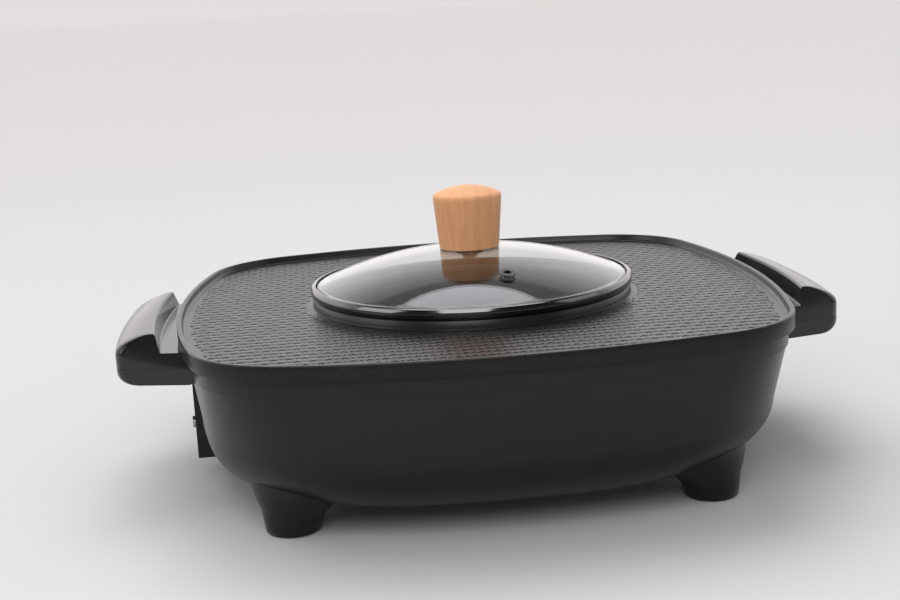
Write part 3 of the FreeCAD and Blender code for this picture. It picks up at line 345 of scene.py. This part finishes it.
def finished(bm, name, body, material, slot, *nodes, sharp=40, scale=MM):
    """Turn a mesh made in millimetres into a piece that rides on a body and stands for its CAD nodes."""
    bmesh.ops.scale(bm, vec=(scale, scale, scale), verts=bm.verts)
    bmesh.ops.recalc_face_normals(bm, faces=bm.faces)
    set_smooth(bm, sharp)
    data = bpy.data.meshes.new(name)
    bm.to_mesh(data)
    bm.free()
    piece = bpy.data.objects.new(name, data)
    bpy.context.scene.collection.objects.link(piece)
    data.materials.append(material)
    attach(piece, body)
    if nodes:
        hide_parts(*nodes)
    return piece


nonstick, shader, node, link = start_finish("flecked_nonstick")
fleck_place = node("ShaderNodeTexCoord").outputs["Object"]
flecks = node("ShaderNodeTexVoronoi", {"feature": "F1"}, Vector=fleck_place, Scale=1500.0)
dots = spread(node, flecks.outputs["Distance"], 1.0, 0.0, 0.10, 0.22)
chance = node("ShaderNodeSeparateColor", Color=flecks.outputs["Color"])
kept = node("ShaderNodeMath", {"operation": "GREATER_THAN"}, i0=chance.outputs["Red"], i1=0.80)
fleck_mask = node("ShaderNodeMath", {"operation": "MULTIPLY"}, i0=dots, i1=kept.outputs[0])
cloud = noise(node, 60.0)
base = blend_colors(node, cloud, (0.013, 0.012, 0.0115), (0.019, 0.0175, 0.0165))
mix = node("ShaderNodeMix", {"data_type": "RGBA"})
link(fleck_mask.outputs[0], mix.inputs["Factor"])
link(base, mix.inputs["A"])
mix.inputs["B"].default_value = (0.13, 0.13, 0.13, 1)
link(mix.outputs["Result"], shader.inputs["Base Color"])
link(spread(node, cloud, 0.27, 0.36), shader.inputs["Roughness"])
wall_share = node("ShaderNodeAttribute", {"attribute_name": "outer_wall"})
link(spread(node, wall_share.outputs["Fac"], 0.48, 0.14), shader.inputs["Specular IOR Level"])
bump(node, link, shader, noise(node, 1400.0, 2.0), 0.25, 0.0002)

SKIRT_BOTTOM = RIM_TOP - 9.6
PLATE_TOP = RIM_TOP - 4.4
PLATE_BOTTOM = PLATE_TOP - 3.6
POT_RADIUS = 93.0
POT_FLOOR = PLATE_TOP - 59.0
POT_TAPER = 4.7
POT_ROUND = 12
UNDER_INSET = 1.2
UNDER_ROUND = 15.5
UNDER_FLOOR = POT_FLOOR - 3.5
COLLAR_RADIUS = 98.9
COLLAR_TOP = PLATE_TOP + 5.6
pan = bmesh.new()
outer_wall = pan.verts.layers.float.new("outer_wall")
rings = [square_ring(pan, inset, level) for inset, level in (
    (0.5, SKIRT_BOTTOM), (0, SKIRT_BOTTOM + 0.5), (0, RIM_TOP - 0.8), (0.25, RIM_TOP - 0.25), (0.8, RIM_TOP),
    (2.2, RIM_TOP), (2.8, RIM_TOP - 0.25), (3.0, RIM_TOP - 0.8), (3.3, PLATE_TOP + 1.3),
    (3.8, PLATE_TOP + 0.4),
    (4.9, PLATE_TOP))]
rings += [round_ring(pan, radius, level) for radius, level in (
    (COLLAR_RADIUS + 1.2, PLATE_TOP), (COLLAR_RADIUS + 0.3, PLATE_TOP + 0.3),
    (COLLAR_RADIUS, PLATE_TOP + 1.2),
    (COLLAR_RADIUS, COLLAR_TOP - 0.5), (COLLAR_RADIUS - 0.5, COLLAR_TOP), (96.1, COLLAR_TOP),
    (95.6, COLLAR_TOP - 0.5), (95.6, COLLAR_TOP - 2), (POT_RADIUS + 0.4, COLLAR_TOP - 2),
    (POT_RADIUS, COLLAR_TOP - 2.4), (POT_RADIUS, PLATE_TOP), (POT_RADIUS - POT_TAPER, POT_FLOOR + POT_ROUND))]
for step in range(1, 7):
    a = math.radians(15 * step)
    radius = POT_RADIUS - POT_TAPER - POT_ROUND * (1 - math.cos(a))
    rings.append(round_ring(pan, radius, POT_FLOOR + POT_ROUND * (1 - math.sin(a))))
rings.append(round_ring(pan, 8, POT_FLOOR))
skin(pan, rings)
bmesh.ops.edgeloop_fill(pan, edges=rings[-1])
under = [round_ring(pan, 8, UNDER_FLOOR)]
for step in range(6, -1, -1):
    a = math.radians(15 * step)
    radius = POT_RADIUS - UNDER_INSET - UNDER_ROUND * (1 - math.cos(a))
    under.append(round_ring(pan, radius, UNDER_FLOOR + UNDER_ROUND * (1 - math.sin(a))))
under += [round_ring(pan, POT_RADIUS + 3.5, PLATE_BOTTOM), square_ring(pan, 3, PLATE_BOTTOM),
          square_ring(pan, 3, SKIRT_BOTTOM + 0.3), square_ring(pan, 2.5, SKIRT_BOTTOM)]
skin(pan, under)
bmesh.ops.edgeloop_fill(pan, edges=under[0])
bmesh.ops.bridge_loops(pan, edges=under[-1] + rings[0])
for ring in rings[:3]:
    for edge in ring:
        edge.verts[0][outer_wall] = edge.verts[1][outer_wall] = 1.0

# The griddle's grip pattern: low cast ribs across the plate, with a chevron every few millimetres
# and thin grooves between them, shifted by half a chevron from row to row.
ROW_PITCH = 7.2
GROOVE_WIDTH = 0.5
RIB_RISE = 0.22
RIB_SLOPE = 0.25
CHEVRON_PITCH = 8.4
CHEVRON_DEPTH = 2.6
RIB_STEP = CHEVRON_PITCH / 4
RIB_ROOT = 0.02
RIB_CROWN = 0.06
COLLAR_GAP = 3.0
PLATE_MARGIN = 6.8
plate_half = PAN_HALF - 7
plate_edge = [point for point in outline_points(PLATE_MARGIN) if point[0] >= -1 and point[1] >= -1]


def on_plate(x, y):
    """True where a rib's corner lies on the flat of the plate."""
    if math.hypot(x, y) < COLLAR_RADIUS + COLLAR_GAP:
        return False
    angle = math.atan2(abs(y), abs(x))
    near = min(plate_edge, key=lambda point: abs(math.atan2(point[1], point[0]) - angle))
    return math.hypot(x, y) < math.hypot(*near)


def add_rib(run, front, back):
    """One low rib over a run of steps, from its front line to its back line."""
    corners = [(x, front + bend) for x, bend in run] + [(x, back + bend) for x, bend in reversed(run)]
    face = bmesh.ops.edgeloop_fill(pan, edges=add_ring(pan, corners, PLATE_TOP - RIB_ROOT))["faces"][0]
    lifted = bmesh.ops.extrude_face_region(pan, geom=[face])
    top = next(item for item in lifted["geom"] if isinstance(item, bmesh.types.BMFace))
    bmesh.ops.translate(pan, vec=(0, 0, RIB_RISE), verts=top.verts)
    bmesh.ops.inset_region(pan, faces=[top], thickness=RIB_SLOPE, depth=RIB_CROWN)


steps_across = int(plate_half / RIB_STEP)
for row in range(-int(plate_half / ROW_PITCH) - 1, int(plate_half / ROW_PITCH) + 1):
    front = row * ROW_PITCH + GROOVE_WIDTH / 2
    back_line = front + ROW_PITCH - GROOVE_WIDTH
    run = []
    for step in range(-steps_across, steps_across + 2):
        bend = CHEVRON_DEPTH if (step + 2 * (row % 2)) % 4 == 0 else 0.0
        x = step * RIB_STEP
        inside = step <= steps_across and on_plate(x, front + bend) and on_plate(x, back_line + bend)
        if inside:
            run.append((x, bend))
        elif len(run) > 1:
            add_rib(run, front, back_line)
        if not inside:
            run = []
finished(pan, "griddle_pan", "pan", nonstick, "cast_nonstick", "grill_pan", sharp=50)

# Housing
# A moulded bowl with a straight band at its top, satin black, open for the back panel and the inlet.
satin_black, shader, node, link = start_finish("satin_black_coat")
cloud = noise(node, 25.0)
link(blend_colors(node, cloud, (0.006, 0.006, 0.006), (0.009, 0.009, 0.009)), shader.inputs["Base Color"])
link(spread(node, cloud, 0.28, 0.34), shader.inputs["Roughness"])
shader.inputs["Specular IOR Level"].default_value = 0.3
bump(node, link, shader, noise(node, 900.0, 2.0), 0.08, 0.0002)

BODY_TOP = PLATE_BOTTOM - 0.3
BAND_BOTTOM = BODY_TOP - 10.7
BODY_BOTTOM = 14.0
WALL = 2.5
BAND_INSET = 3.8
BOWL_RADIUS = 38.0
OPENING_RADIUS = 80.0
BOWL_SLOPE = 0.15
BOTTOM_CORNER = 110.0


def bowl_levels(wall):
    """Inset and level of each outline of the bowl, from its band down to its flat."""
    centre_level = BODY_BOTTOM + BOWL_RADIUS
    side_inset = BAND_INSET + 1 + (BAND_BOTTOM - centre_level) * BOWL_SLOPE
    levels = [(BAND_INSET + 1 + wall, BAND_BOTTOM)]
    radius = BOWL_RADIUS - wall
    for step in range(0, 13):
        a = math.radians(step * 7.5)
        levels.append((side_inset + BOWL_RADIUS - radius * math.cos(a), centre_level - radius * math.sin(a)))
    return levels


def bowl_ring(bm, inset, level, wall):
    """An outline of the bowl, whose corners grow rounder towards the bottom."""
    top_corner = CORNER_RADIUS - BAND_INSET - 1
    share = (BAND_BOTTOM - level) / (BAND_BOTTOM - BODY_BOTTOM)
    corner = top_corner + (BOTTOM_CORNER - top_corner) * min(1.0, share) - wall
    return add_ring(bm, outline_points(inset, corner), level)


bowl = bmesh.new()
outside = bowl_levels(0)
inside = bowl_levels(WALL)
rings = [round_ring(bowl, OPENING_RADIUS, BODY_BOTTOM)]
rings += [bowl_ring(bowl, inset, level, 0) for inset, level in reversed(outside)]
rings += [square_ring(bowl, inset, level) for inset, level in (
    (BAND_INSET + 0.2, BAND_BOTTOM + 0.1), (BAND_INSET, BAND_BOTTOM + 0.6), (BAND_INSET, BODY_TOP - 0.4),
    (BAND_INSET + 0.4, BODY_TOP), (BAND_INSET + WALL - 0.4, BODY_TOP), (BAND_INSET + WALL, BODY_TOP - 0.4))]
rings += [bowl_ring(bowl, inset, level, WALL) for inset, level in inside]
rings.append(round_ring(bowl, OPENING_RADIUS, BODY_BOTTOM + WALL))
skin(bowl, rings, closed=True)
housing = finished(bowl, "housing", "base", satin_black, "housing_black", "housing_shell", sharp=35)


def cut_away(piece, cutter_mesh):
    """Cut a closed bmesh, made in metres, out of a piece."""
    cutter_data = bpy.data.meshes.new("cutter")
    cutter_mesh.to_mesh(cutter_data)
    cutter_mesh.free()
    cutter = bpy.data.objects.new("cutter", cutter_data)
    bpy.context.scene.collection.objects.link(cutter)
    modifier = piece.modifiers.new("opening", "BOOLEAN")
    modifier.operation = "DIFFERENCE"
    modifier.solver = "EXACT"
    modifier.object = cutter
    bpy.context.view_layer.update()
    depsgraph = bpy.context.evaluated_depsgraph_get()
    result = bpy.data.meshes.new_from_object(piece.evaluated_get(depsgraph))
    piece.modifiers.remove(modifier)
    bpy.data.objects.remove(cutter)
    old = piece.data
    piece.data = result
    bpy.data.meshes.remove(old)


def cut_box(piece, low, high):
    """Cut a box-shaped opening, given in metres, through a piece."""
    block = bmesh.new()
    bmesh.ops.create_cube(block, size=1.0)
    bmesh.ops.scale(block, vec=Vector(high) - Vector(low), verts=block.verts)
    bmesh.ops.translate(block, vec=(Vector(high) + Vector(low)) / 2, verts=block.verts)
    cut_away(piece, block)


panel_low, panel_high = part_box("control_panel")
cut_box(housing, panel_low, (panel_high.x, PAN_HALF * MM, panel_high.z))
socket_low, socket_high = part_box("inlet_socket")
cut_box(housing, socket_low, socket_high)


def dressed(node_name, material, sharp=30):
    """A merged, smoothly shaded copy of a CAD node, in the same place, with its finish."""
    source = CAD[node_name]
    body = source["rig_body"]
    slot = next(row["material_slot"] for row in frame["record"]["subparts"] if row["node"] == node_name)
    copy = bmesh.new()
    copy.from_mesh(source.data)
    bmesh.ops.remove_doubles(copy, verts=copy.verts, dist=0.000002)
    return finished(copy, node_name + "_finish", body, material, slot, node_name, sharp=sharp, scale=1.0)


# Feet
# Four tapered moulded feet that flare into the bowl's underside and end just inside its wall, with a
# rubber pad in each. A foot's shape is a row of circles: level, place from the middle, radius.
FOOT_STEPS = 48
FOOT_SINK = 1.0
foot_turns = [2 * math.pi * index / FOOT_STEPS for index in range(FOOT_STEPS)]
FOOT_SHAPE = ((0.6, 118, 14.6), (1.2, 118, 15.2), (6, 117.8, 16.2), (10, 117, 17.6), (14, 115, 20.5),
              (18, 112.5, 25), (22, 109.5, 29.5), (26, 106.5, 34), (30, 104, 37))
for name in ("foot_front_left", "foot_front_right", "foot_rear_left", "foot_rear_right"):
    low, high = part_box(name)
    side_x = math.copysign(1, low.x + high.x)
    side_y = math.copysign(1, low.y + high.y)
    foot = bmesh.new()
    rings = []
    for level, place, radius in FOOT_SHAPE:
        circle = [(side_x * place + radius * math.cos(a), side_y * place + radius * math.sin(a))
                  for a in foot_turns]
        rings.append(add_ring(foot, circle, level))
    skin(foot, rings)
    for end in (rings[0], rings[-1]):
        bmesh.ops.edgeloop_fill(foot, edges=end)
    piece = finished(foot, name + "_finish", "base", satin_black, "housing_black", name)
    inside_bowl = bmesh.new()
    rings = [bowl_ring(inside_bowl, inset, level, FOOT_SINK) for inset, level in bowl_levels(FOOT_SINK)]
    skin(inside_bowl, rings)
    for end in (rings[0], rings[-1]):
        bmesh.ops.edgeloop_fill(inside_bowl, edges=end)
    bmesh.ops.scale(inside_bowl, vec=(MM, MM, MM), verts=inside_bowl.verts)
    bmesh.ops.recalc_face_normals(inside_bowl, faces=inside_bowl.faces)
    cut_away(piece, inside_bowl)

rubber, shader, node, link = start_finish("pad_rubber")
cloud = noise(node, 200.0)
link(blend_colors(node, cloud, (0.02, 0.02, 0.02), (0.035, 0.034, 0.033)), shader.inputs["Base Color"])
shader.inputs["Roughness"].default_value = 0.8
bump(node, link, shader, cloud, 0.3, 0.0003)
dressed("foot_pads", rubber)

# Side handles
# Pressed bakelite in two shells, lower and upper. The upper one carries the raised grip ridge
# along its outer edge, with a shelf between the ridge and the pan.
bakelite, shader, node, link = start_finish("gloss_bakelite")
cloud = noise(node, 18.0)
link(blend_colors(node, cloud, (0.006, 0.006, 0.006), (0.009, 0.009, 0.009)), shader.inputs["Base Color"])
link(spread(node, cloud, 0.13, 0.19), shader.inputs["Roughness"])
bump(node, link, shader, noise(node, 500.0, 2.0), 0.04, 0.0002)

HANDLE_TOP = SKIRT_BOTTOM - 1.4
HANDLE_SEAM = HANDLE_TOP - 9.5
HANDLE_BOTTOM = HANDLE_TOP - 19.0
HANDLE_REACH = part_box("handle_right_upper")[1].x / MM
HANDLE_BOW = 3.0
ROOT_REACH = 174.0
RIDGE_INNER = 187.5
INNER_BOW = 4.0
RIDGE_TOP = HANDLE_TOP + 10.0
ROOT_HALF = 70.0
END_HALF = 62.0
END_SLOPE = (ROOT_HALF - END_HALF) / (HANDLE_REACH - HANDLE_BOW - RIDGE_INNER)
CORNER_SHARE = 0.08
CORNER_DEPTH = 4.5
STATIONS = 40


def handle_station(share):
    """Reach of the outer edge at a share of the handle's half length, bowed and rounded at its corners."""
    reach = HANDLE_REACH - HANDLE_BOW * share ** 2
    over = max(0.0, abs(share) - (1 - CORNER_SHARE)) / CORNER_SHARE
    return reach - CORNER_DEPTH * (1 - math.sqrt(max(0.0, 1 - over ** 2)))


def handle_piece(profile, side, name, node_name):
    """Loft a handle's section, which the profile gives as (reach, level) points, along its length."""
    bm = bmesh.new()
    rings = []
    for index in range(STATIONS + 1):
        share = math.sin(math.pi * (index / STATIONS - 0.5))
        outer = handle_station(share)
        ring = []
        for reach, level in profile(outer, RIDGE_INNER + INNER_BOW * (1 - share ** 2)):
            lean = max(0.0, level - HANDLE_TOP) * 0.62
            y = share * (ROOT_HALF - (reach - RIDGE_INNER) * END_SLOPE - lean)
            bow = y ** 2 / (2 * SIDE_RADIUS) if reach < RIDGE_INNER - 1 else 0.0
            ring.append(bm.verts.new((side * (reach - bow), y, level)))
        rings.append([bm.edges.new((a, b)) for a, b in zip(ring, ring[1:] + ring[:1])])
    skin(bm, rings)
    for end in (rings[0], rings[-1]):
        bmesh.ops.edgeloop_fill(bm, edges=end)
    return finished(bm, name, "base", bakelite, "handle_bakelite", node_name, sharp=28)


def upper_profile(outer, inner):
    crest = inner + 3.4
    points = [(ROOT_REACH, HANDLE_SEAM + 0.05), (ROOT_REACH, HANDLE_TOP - 0.5), (ROOT_REACH + 3, HANDLE_TOP),
              (inner - 0.6, HANDLE_TOP), (inner, HANDLE_TOP + 0.4), (inner + 2.3, RIDGE_TOP - 1.0),
              (crest, RIDGE_TOP)]
    for share, drop in ((0.14, 0.15), (0.28, 0.7), (0.42, 1.7), (0.56, 2.9), (0.70, 4.3), (0.82, 5.8),
                        (0.92, 7.5), (0.98, 9.3), (1.0, 11.5)):
        points.append((crest + (outer - crest) * share, RIDGE_TOP - drop))
    return points + [(outer, HANDLE_SEAM + 0.35), (outer - 0.25, HANDLE_SEAM + 0.05)]


def lower_profile(outer, inner):
    points = [(ROOT_REACH, HANDLE_SEAM - 0.05), (outer - 0.25, HANDLE_SEAM - 0.05),
              (outer, HANDLE_SEAM - 0.35)]
    for step in range(0, 7):
        a = math.radians(step * 15)
        points.append((outer - 8.0 * (1 - math.cos(a)), HANDLE_BOTTOM + 7.0 * (1 - math.sin(a))))
    return points + [(ROOT_REACH + 3, HANDLE_BOTTOM), (ROOT_REACH, HANDLE_BOTTOM + 1.5)]


for side, side_name in ((1, "right"), (-1, "left")):
    handle_piece(upper_profile, side, f"grip_{side_name}_upper", f"handle_{side_name}_upper")
    handle_piece(lower_profile, side, f"grip_{side_name}_lower", f"handle_{side_name}_lower")

# Back panel, dials and inlet
# Moulded black plastic with a fine grain. Each dial has a skirt, a grip bar and a white pointer line.
moulded, shader, node, link = start_finish("moulded_black")
cloud = noise(node, 60.0)
link(blend_colors(node, cloud, (0.016, 0.016, 0.017), (0.024, 0.024, 0.025)), shader.inputs["Base Color"])
link(spread(node, cloud, 0.42, 0.52), shader.inputs["Roughness"])
bump(node, link, shader, noise(node, 1600.0, 2.0), 0.3, 0.0002)
for name in ("control_panel", "inlet_socket"):
    dressed(name, moulded)
dressed("inlet_housing", satin_black)

marking, shader, node, link = start_finish("marking_paint")
cloud = noise(node, 300.0)
link(blend_colors(node, cloud, (0.62, 0.62, 0.60), (0.72, 0.72, 0.70)), shader.inputs["Base Color"])
shader.inputs["Roughness"].default_value = 0.5
dial_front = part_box("grill_dial")[1].y / MM
for name in ("grill", "pot"):
    body = name + "_dial"
    dressed(body, moulded)
    low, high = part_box(body)
    middle = (low + high) / 2 / MM
    pointer = bmesh.new()
    bmesh.ops.create_cube(pointer, size=1.0)
    bmesh.ops.scale(pointer, vec=(1.0, 0.2, 8.0), verts=pointer.verts)
    bmesh.ops.bevel(pointer, geom=pointer.edges[:], offset=0.08, segments=1, affect="EDGES",
                    profile=0.5, material=-1)
    bmesh.ops.translate(pointer, vec=(middle.x, dial_front + 0.02, middle.z + 6.0), verts=pointer.verts)
    finished(pointer, name + "_dial_pointer", body, marking, "lamp_lens")

# Scale marks round each dial: eleven short painted ticks on the panel's face.
panel_face = panel_high.y / MM
for name in ("grill", "pot"):
    low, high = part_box(name + "_dial")
    middle = (low + high) / 2 / MM
    ticks = bmesh.new()
    for index in range(11):
        angle = math.radians(90 - 27 * index)
        tick = bmesh.ops.create_cube(ticks, size=1.0)["verts"]
        bmesh.ops.scale(ticks, vec=(0.7, 0.12, 2.6), verts=tick)
        tick_turn = Matrix.Rotation(math.pi / 2 - angle, 3, "Y")
        bmesh.ops.rotate(ticks, cent=(0, 0, 0), matrix=tick_turn, verts=tick)
        place = (middle.x + 17.2 * math.cos(angle), panel_face + 0.03, middle.z + 17.2 * math.sin(angle))
        bmesh.ops.translate(ticks, vec=place, verts=tick)
    finished(ticks, name + "_dial_scale", "base", marking, "lamp_lens")

lens, shader, node, link = start_finish("lamp_lens_red")
cloud = noise(node, 150.0)
link(blend_colors(node, cloud, (0.55, 0.03, 0.015), (0.70, 0.06, 0.03)), shader.inputs["Base Color"])
shader.inputs["Roughness"].default_value = 0.2
dressed("indicator_lenses", lens)

# Lid glass
# A tempered glass dome of even thickness, with a hole for the knob's screw.
clear_glass, shader, node, link = start_finish("tempered_glass")
tint = noise(node, 6.0)
link(blend_colors(node, tint, (0.93, 0.96, 0.945), (0.95, 0.975, 0.96)), shader.inputs["Base Color"])
shader.inputs["Roughness"].default_value = 0.015
shader.inputs["IOR"].default_value = 1.5
shader.inputs["Transmission Weight"].default_value = 1.0
LID_BOTTOM = COLLAR_TOP + 0.3
GLASS_EDGE = 98.2
GLASS_EDGE_TOP = LID_BOTTOM + 5.0
DOME_RISE = 20.2
GLASS_THICKNESS = 4.0
GLASS_HOLE = 3.0
EDGE_EASE = 0.6
DOME_RADIUS = (GLASS_EDGE ** 2 + DOME_RISE ** 2) / (2 * DOME_RISE)
DOME_TOP = GLASS_EDGE_TOP + DOME_RISE
SPIN_STEPS = 128


def dome_level(radius, drop=0.0):
    """Level of the glass at a radius, on a sphere that lies a drop inside the outer one."""
    return DOME_TOP - DOME_RADIUS + math.sqrt((DOME_RADIUS - drop) ** 2 - radius ** 2)


def turned(points, closed=True):
    """A bmesh turned about the lid's axis from (radius, level) points."""
    bm = bmesh.new()
    corners = [bm.verts.new((radius, 0, level)) for radius, level in points]
    pairs = list(zip(corners, corners[1:]))
    if closed:
        pairs.append((corners[-1], corners[0]))
    edges = [bm.edges.new(pair) for pair in pairs]
    bmesh.ops.spin(bm, geom=corners + edges, cent=(0, 0, 0), axis=(0, 0, 1), angle=2 * math.pi,
                   steps=SPIN_STEPS, use_merge=True)
    bmesh.ops.remove_doubles(bm, verts=bm.verts, dist=0.0005)
    return bm


steps = [GLASS_HOLE + (GLASS_EDGE - EDGE_EASE - GLASS_HOLE) * index / 20 for index in range(21)]
glass_profile = [(radius, dome_level(radius)) for radius in steps]
glass_profile += [(GLASS_EDGE, dome_level(GLASS_EDGE) - EDGE_EASE),
                  (GLASS_EDGE, dome_level(GLASS_EDGE, GLASS_THICKNESS) + EDGE_EASE)]
glass_profile += [(radius, dome_level(radius, GLASS_THICKNESS)) for radius in reversed(steps)]
finished(turned(glass_profile), "lid_dome", "lid", clear_glass, "dome_glass", "lid_glass", sharp=40)

# Lid band
# A rolled stainless band that grips the glass edge, polished outside. Its steel colour is painted dark, a
# painted shade for the dark room it mirrors.
steel_painted_dark, shader, node, link = start_finish("stainless_painted_dark")
streaks = noise(node, 40.0, 3.0, (1, 1, 12))
# Dark steel colour: painted shade for the reflection of the dark room. The stretched streaks are the real
# brushing.
link(blend_colors(node, streaks, (0.14, 0.14, 0.139), (0.20, 0.20, 0.198)), shader.inputs["Base Color"])
shader.inputs["Metallic"].default_value = 1.0
link(spread(node, streaks, 0.10, 0.18), shader.inputs["Roughness"])
LID_RADIUS = 100.0
BAND_TOP = LID_BOTTOM + 6.2
lip_outside = 95.2
lip_inside = 94.0
band_profile = [
    (lip_inside, LID_BOTTOM - 1.9), (lip_outside, LID_BOTTOM - 1.9), (lip_outside, LID_BOTTOM),
    (LID_RADIUS - 1.5, LID_BOTTOM), (LID_RADIUS - 0.8, LID_BOTTOM + 0.5),
    (LID_RADIUS - 0.3, LID_BOTTOM + 1.4),
    (LID_RADIUS, LID_BOTTOM + 2.6), (LID_RADIUS - 0.05, LID_BOTTOM + 3.8), (LID_RADIUS - 0.4, BAND_TOP - 1.3),
    (LID_RADIUS - 1.0, BAND_TOP - 0.3), (LID_RADIUS - 2.2, BAND_TOP + 0.35),
    (LID_RADIUS - 3.2, BAND_TOP + 0.45),
    (LID_RADIUS - 3.4, BAND_TOP + 0.2),
    (LID_RADIUS - 2.3, GLASS_EDGE_TOP + 0.25), (GLASS_EDGE + 0.05, GLASS_EDGE_TOP - 0.4),
    (GLASS_EDGE + 0.05, LID_BOTTOM + 1.2), (LID_RADIUS - 3.4, LID_BOTTOM + 0.8),
    (lip_inside, LID_BOTTOM + 0.8)]
finished(turned(band_profile), "lid_band", "lid", steel_painted_dark, "band_steel", "lid_rim", sharp=30)
dressed("vent_eyelet", steel_painted_dark, 35)

# Knob
# Turned beech with a domed top and a small eased shoulder, seated on the glass over a brass insert.
beech, shader, node, link = start_finish("oiled_beech")
place = node("ShaderNodeTexCoord").outputs["Object"]
grain_map = node("ShaderNodeMapping", Vector=place)
grain_map.inputs["Scale"].default_value = (1, 1, 0.10)
grain_place = grain_map.outputs["Vector"]
grain = node("ShaderNodeTexNoise", Vector=grain_place, Scale=420.0, Detail=5.0, Distortion=0.4)
bands = node("ShaderNodeTexWave", {"wave_type": "BANDS", "bands_direction": "X"}, Vector=grain_place,
             Scale=38.0, Distortion=3.0, Detail=2.0)
pores = node("ShaderNodeTexNoise", Vector=grain_place, Scale=1500.0, Detail=2.0)
DARK_GRAIN = (0.70, 0.335, 0.148)
PALE_GRAIN = (0.78, 0.390, 0.185)
wood = blend_colors(node, spread(node, grain.outputs["Fac"], 0, 1, 0.35, 0.65), DARK_GRAIN, PALE_GRAIN)
tone = node("ShaderNodeMix", {"data_type": "RGBA"})
link(spread(node, bands.outputs["Fac"], 0.0, 0.22), tone.inputs["Factor"])
link(wood, tone.inputs["A"])
tone.inputs["B"].default_value = (0.60, 0.29, 0.13, 1)
link(tone.outputs["Result"], shader.inputs["Base Color"])
link(spread(node, grain.outputs["Fac"], 0.42, 0.55), shader.inputs["Roughness"])
bump(node, link, shader, pores.outputs["Fac"], 0.25, 0.0002)
KNOB_TOP = DOME_TOP + 38.0
KNOB_BOTTOM_RADIUS = 18.5
KNOB_TOP_RADIUS = 21.2
CROWN_RADIUS = 46.0
knob_steps = [4.6, 9.0, 13.0, 17.0]
knob_profile = [(4.6, DOME_TOP + 20.0)]
knob_profile += [(radius, dome_level(radius) + 0.05) for radius in knob_steps]
knob_profile += [(17.7, dome_level(17.7) + 0.15), (KNOB_BOTTOM_RADIUS, dome_level(18) + 0.6)]
crown_centre = KNOB_TOP - CROWN_RADIUS
crown_edge = KNOB_TOP_RADIUS - 2.2
shoulder_level = crown_centre + math.sqrt(CROWN_RADIUS ** 2 - crown_edge ** 2)
side_top = shoulder_level - 2.9
knob_profile.append((KNOB_TOP_RADIUS - 0.15, side_top - 2))
for index in range(5):
    a = math.radians(index * 17)
    knob_profile.append((crown_edge + 2.2 * math.cos(a), side_top + 2.7 * math.sin(a)))
for index in range(7):
    radius = crown_edge * (1 - index / 6)
    knob_profile.append((max(radius, 0.001), crown_centre + math.sqrt(CROWN_RADIUS ** 2 - radius ** 2)))
knob_profile.append((0.001, DOME_TOP + 20.0))
finished(turned(knob_profile), "beech_knob", "lid", beech, "beech", "knob", sharp=35)

# Inner parts
# What the housing and lid hold: heaters, reflector, controls, wiring and fasteners, each in its own finish.


def plain_metal(name, dark, light, rough_low, rough_high):
    """A metal with fine drawn streaks."""
    finish, shader, node, link = start_finish(name)
    streaks = noise(node, 120.0, 3.0, (8, 1, 1))
    link(blend_colors(node, streaks, dark, light), shader.inputs["Base Color"])
    shader.inputs["Metallic"].default_value = 1.0
    link(spread(node, streaks, rough_low, rough_high), shader.inputs["Roughness"])
    return finish


def plain_solid(name, dark, light, roughness):
    """A moulded or fired material with a faint mottle."""
    finish, shader, node, link = start_finish(name)
    cloud = noise(node, 150.0)
    link(blend_colors(node, cloud, dark, light), shader.inputs["Base Color"])
    shader.inputs["Roughness"].default_value = roughness
    bump(node, link, shader, cloud, 0.15, 0.0002)
    return finish


zinc = plain_metal("zinc_plate", (0.45, 0.45, 0.47), (0.60, 0.60, 0.62), 0.3, 0.42)
inner_finishes = {
    "zinc_steel": zinc,
    "reflector_steel": plain_metal("aluminised_sheet", (0.52, 0.52, 0.52), (0.64, 0.64, 0.64), 0.28, 0.4),
    "cast_aluminium": plain_metal("cast_aluminium", (0.42, 0.42, 0.43), (0.52, 0.52, 0.53), 0.4, 0.5),
    "heater_sheath": plain_metal("oxidised_sheath", (0.10, 0.095, 0.09), (0.16, 0.15, 0.145), 0.45, 0.6),
    "brass": plain_metal("machined_brass", (0.60, 0.43, 0.16), (0.70, 0.52, 0.22), 0.25, 0.35),
    "ceramic": plain_solid("steatite", (0.68, 0.66, 0.60), (0.76, 0.74, 0.69), 0.6),
    "thermostat_phenolic": plain_solid("brown_phenolic", (0.11, 0.05, 0.025), (0.15, 0.07, 0.035), 0.5),
    "lamp_glass": plain_solid("lamp_body", (0.60, 0.50, 0.40), (0.70, 0.58, 0.48), 0.3),
    "lead_insulation": plain_solid("lead_sleeve", (0.05, 0.05, 0.055), (0.08, 0.08, 0.085), 0.6),
    "silicone": plain_solid("grey_silicone", (0.34, 0.34, 0.33), (0.42, 0.42, 0.40), 0.55),
    "band_steel": steel_painted_dark,
    "housing_black": satin_black,
    "handle_bakelite": bakelite,
    "panel_plastic": moulded,
    "foot_rubber": rubber,
    "cast_nonstick": nonstick,
    "dome_glass": clear_glass,
    "beech": beech,
    "lamp_lens": lens,
}
for row in frame["record"]["subparts"]:
    shown = CAD[row["node"]]
    finish = inner_finishes[row["material_slot"]]
    shown.data.materials.clear()
    shown.data.materials.append(finish)
    if not shown.hide_render:
        dressed(row["node"], finish)
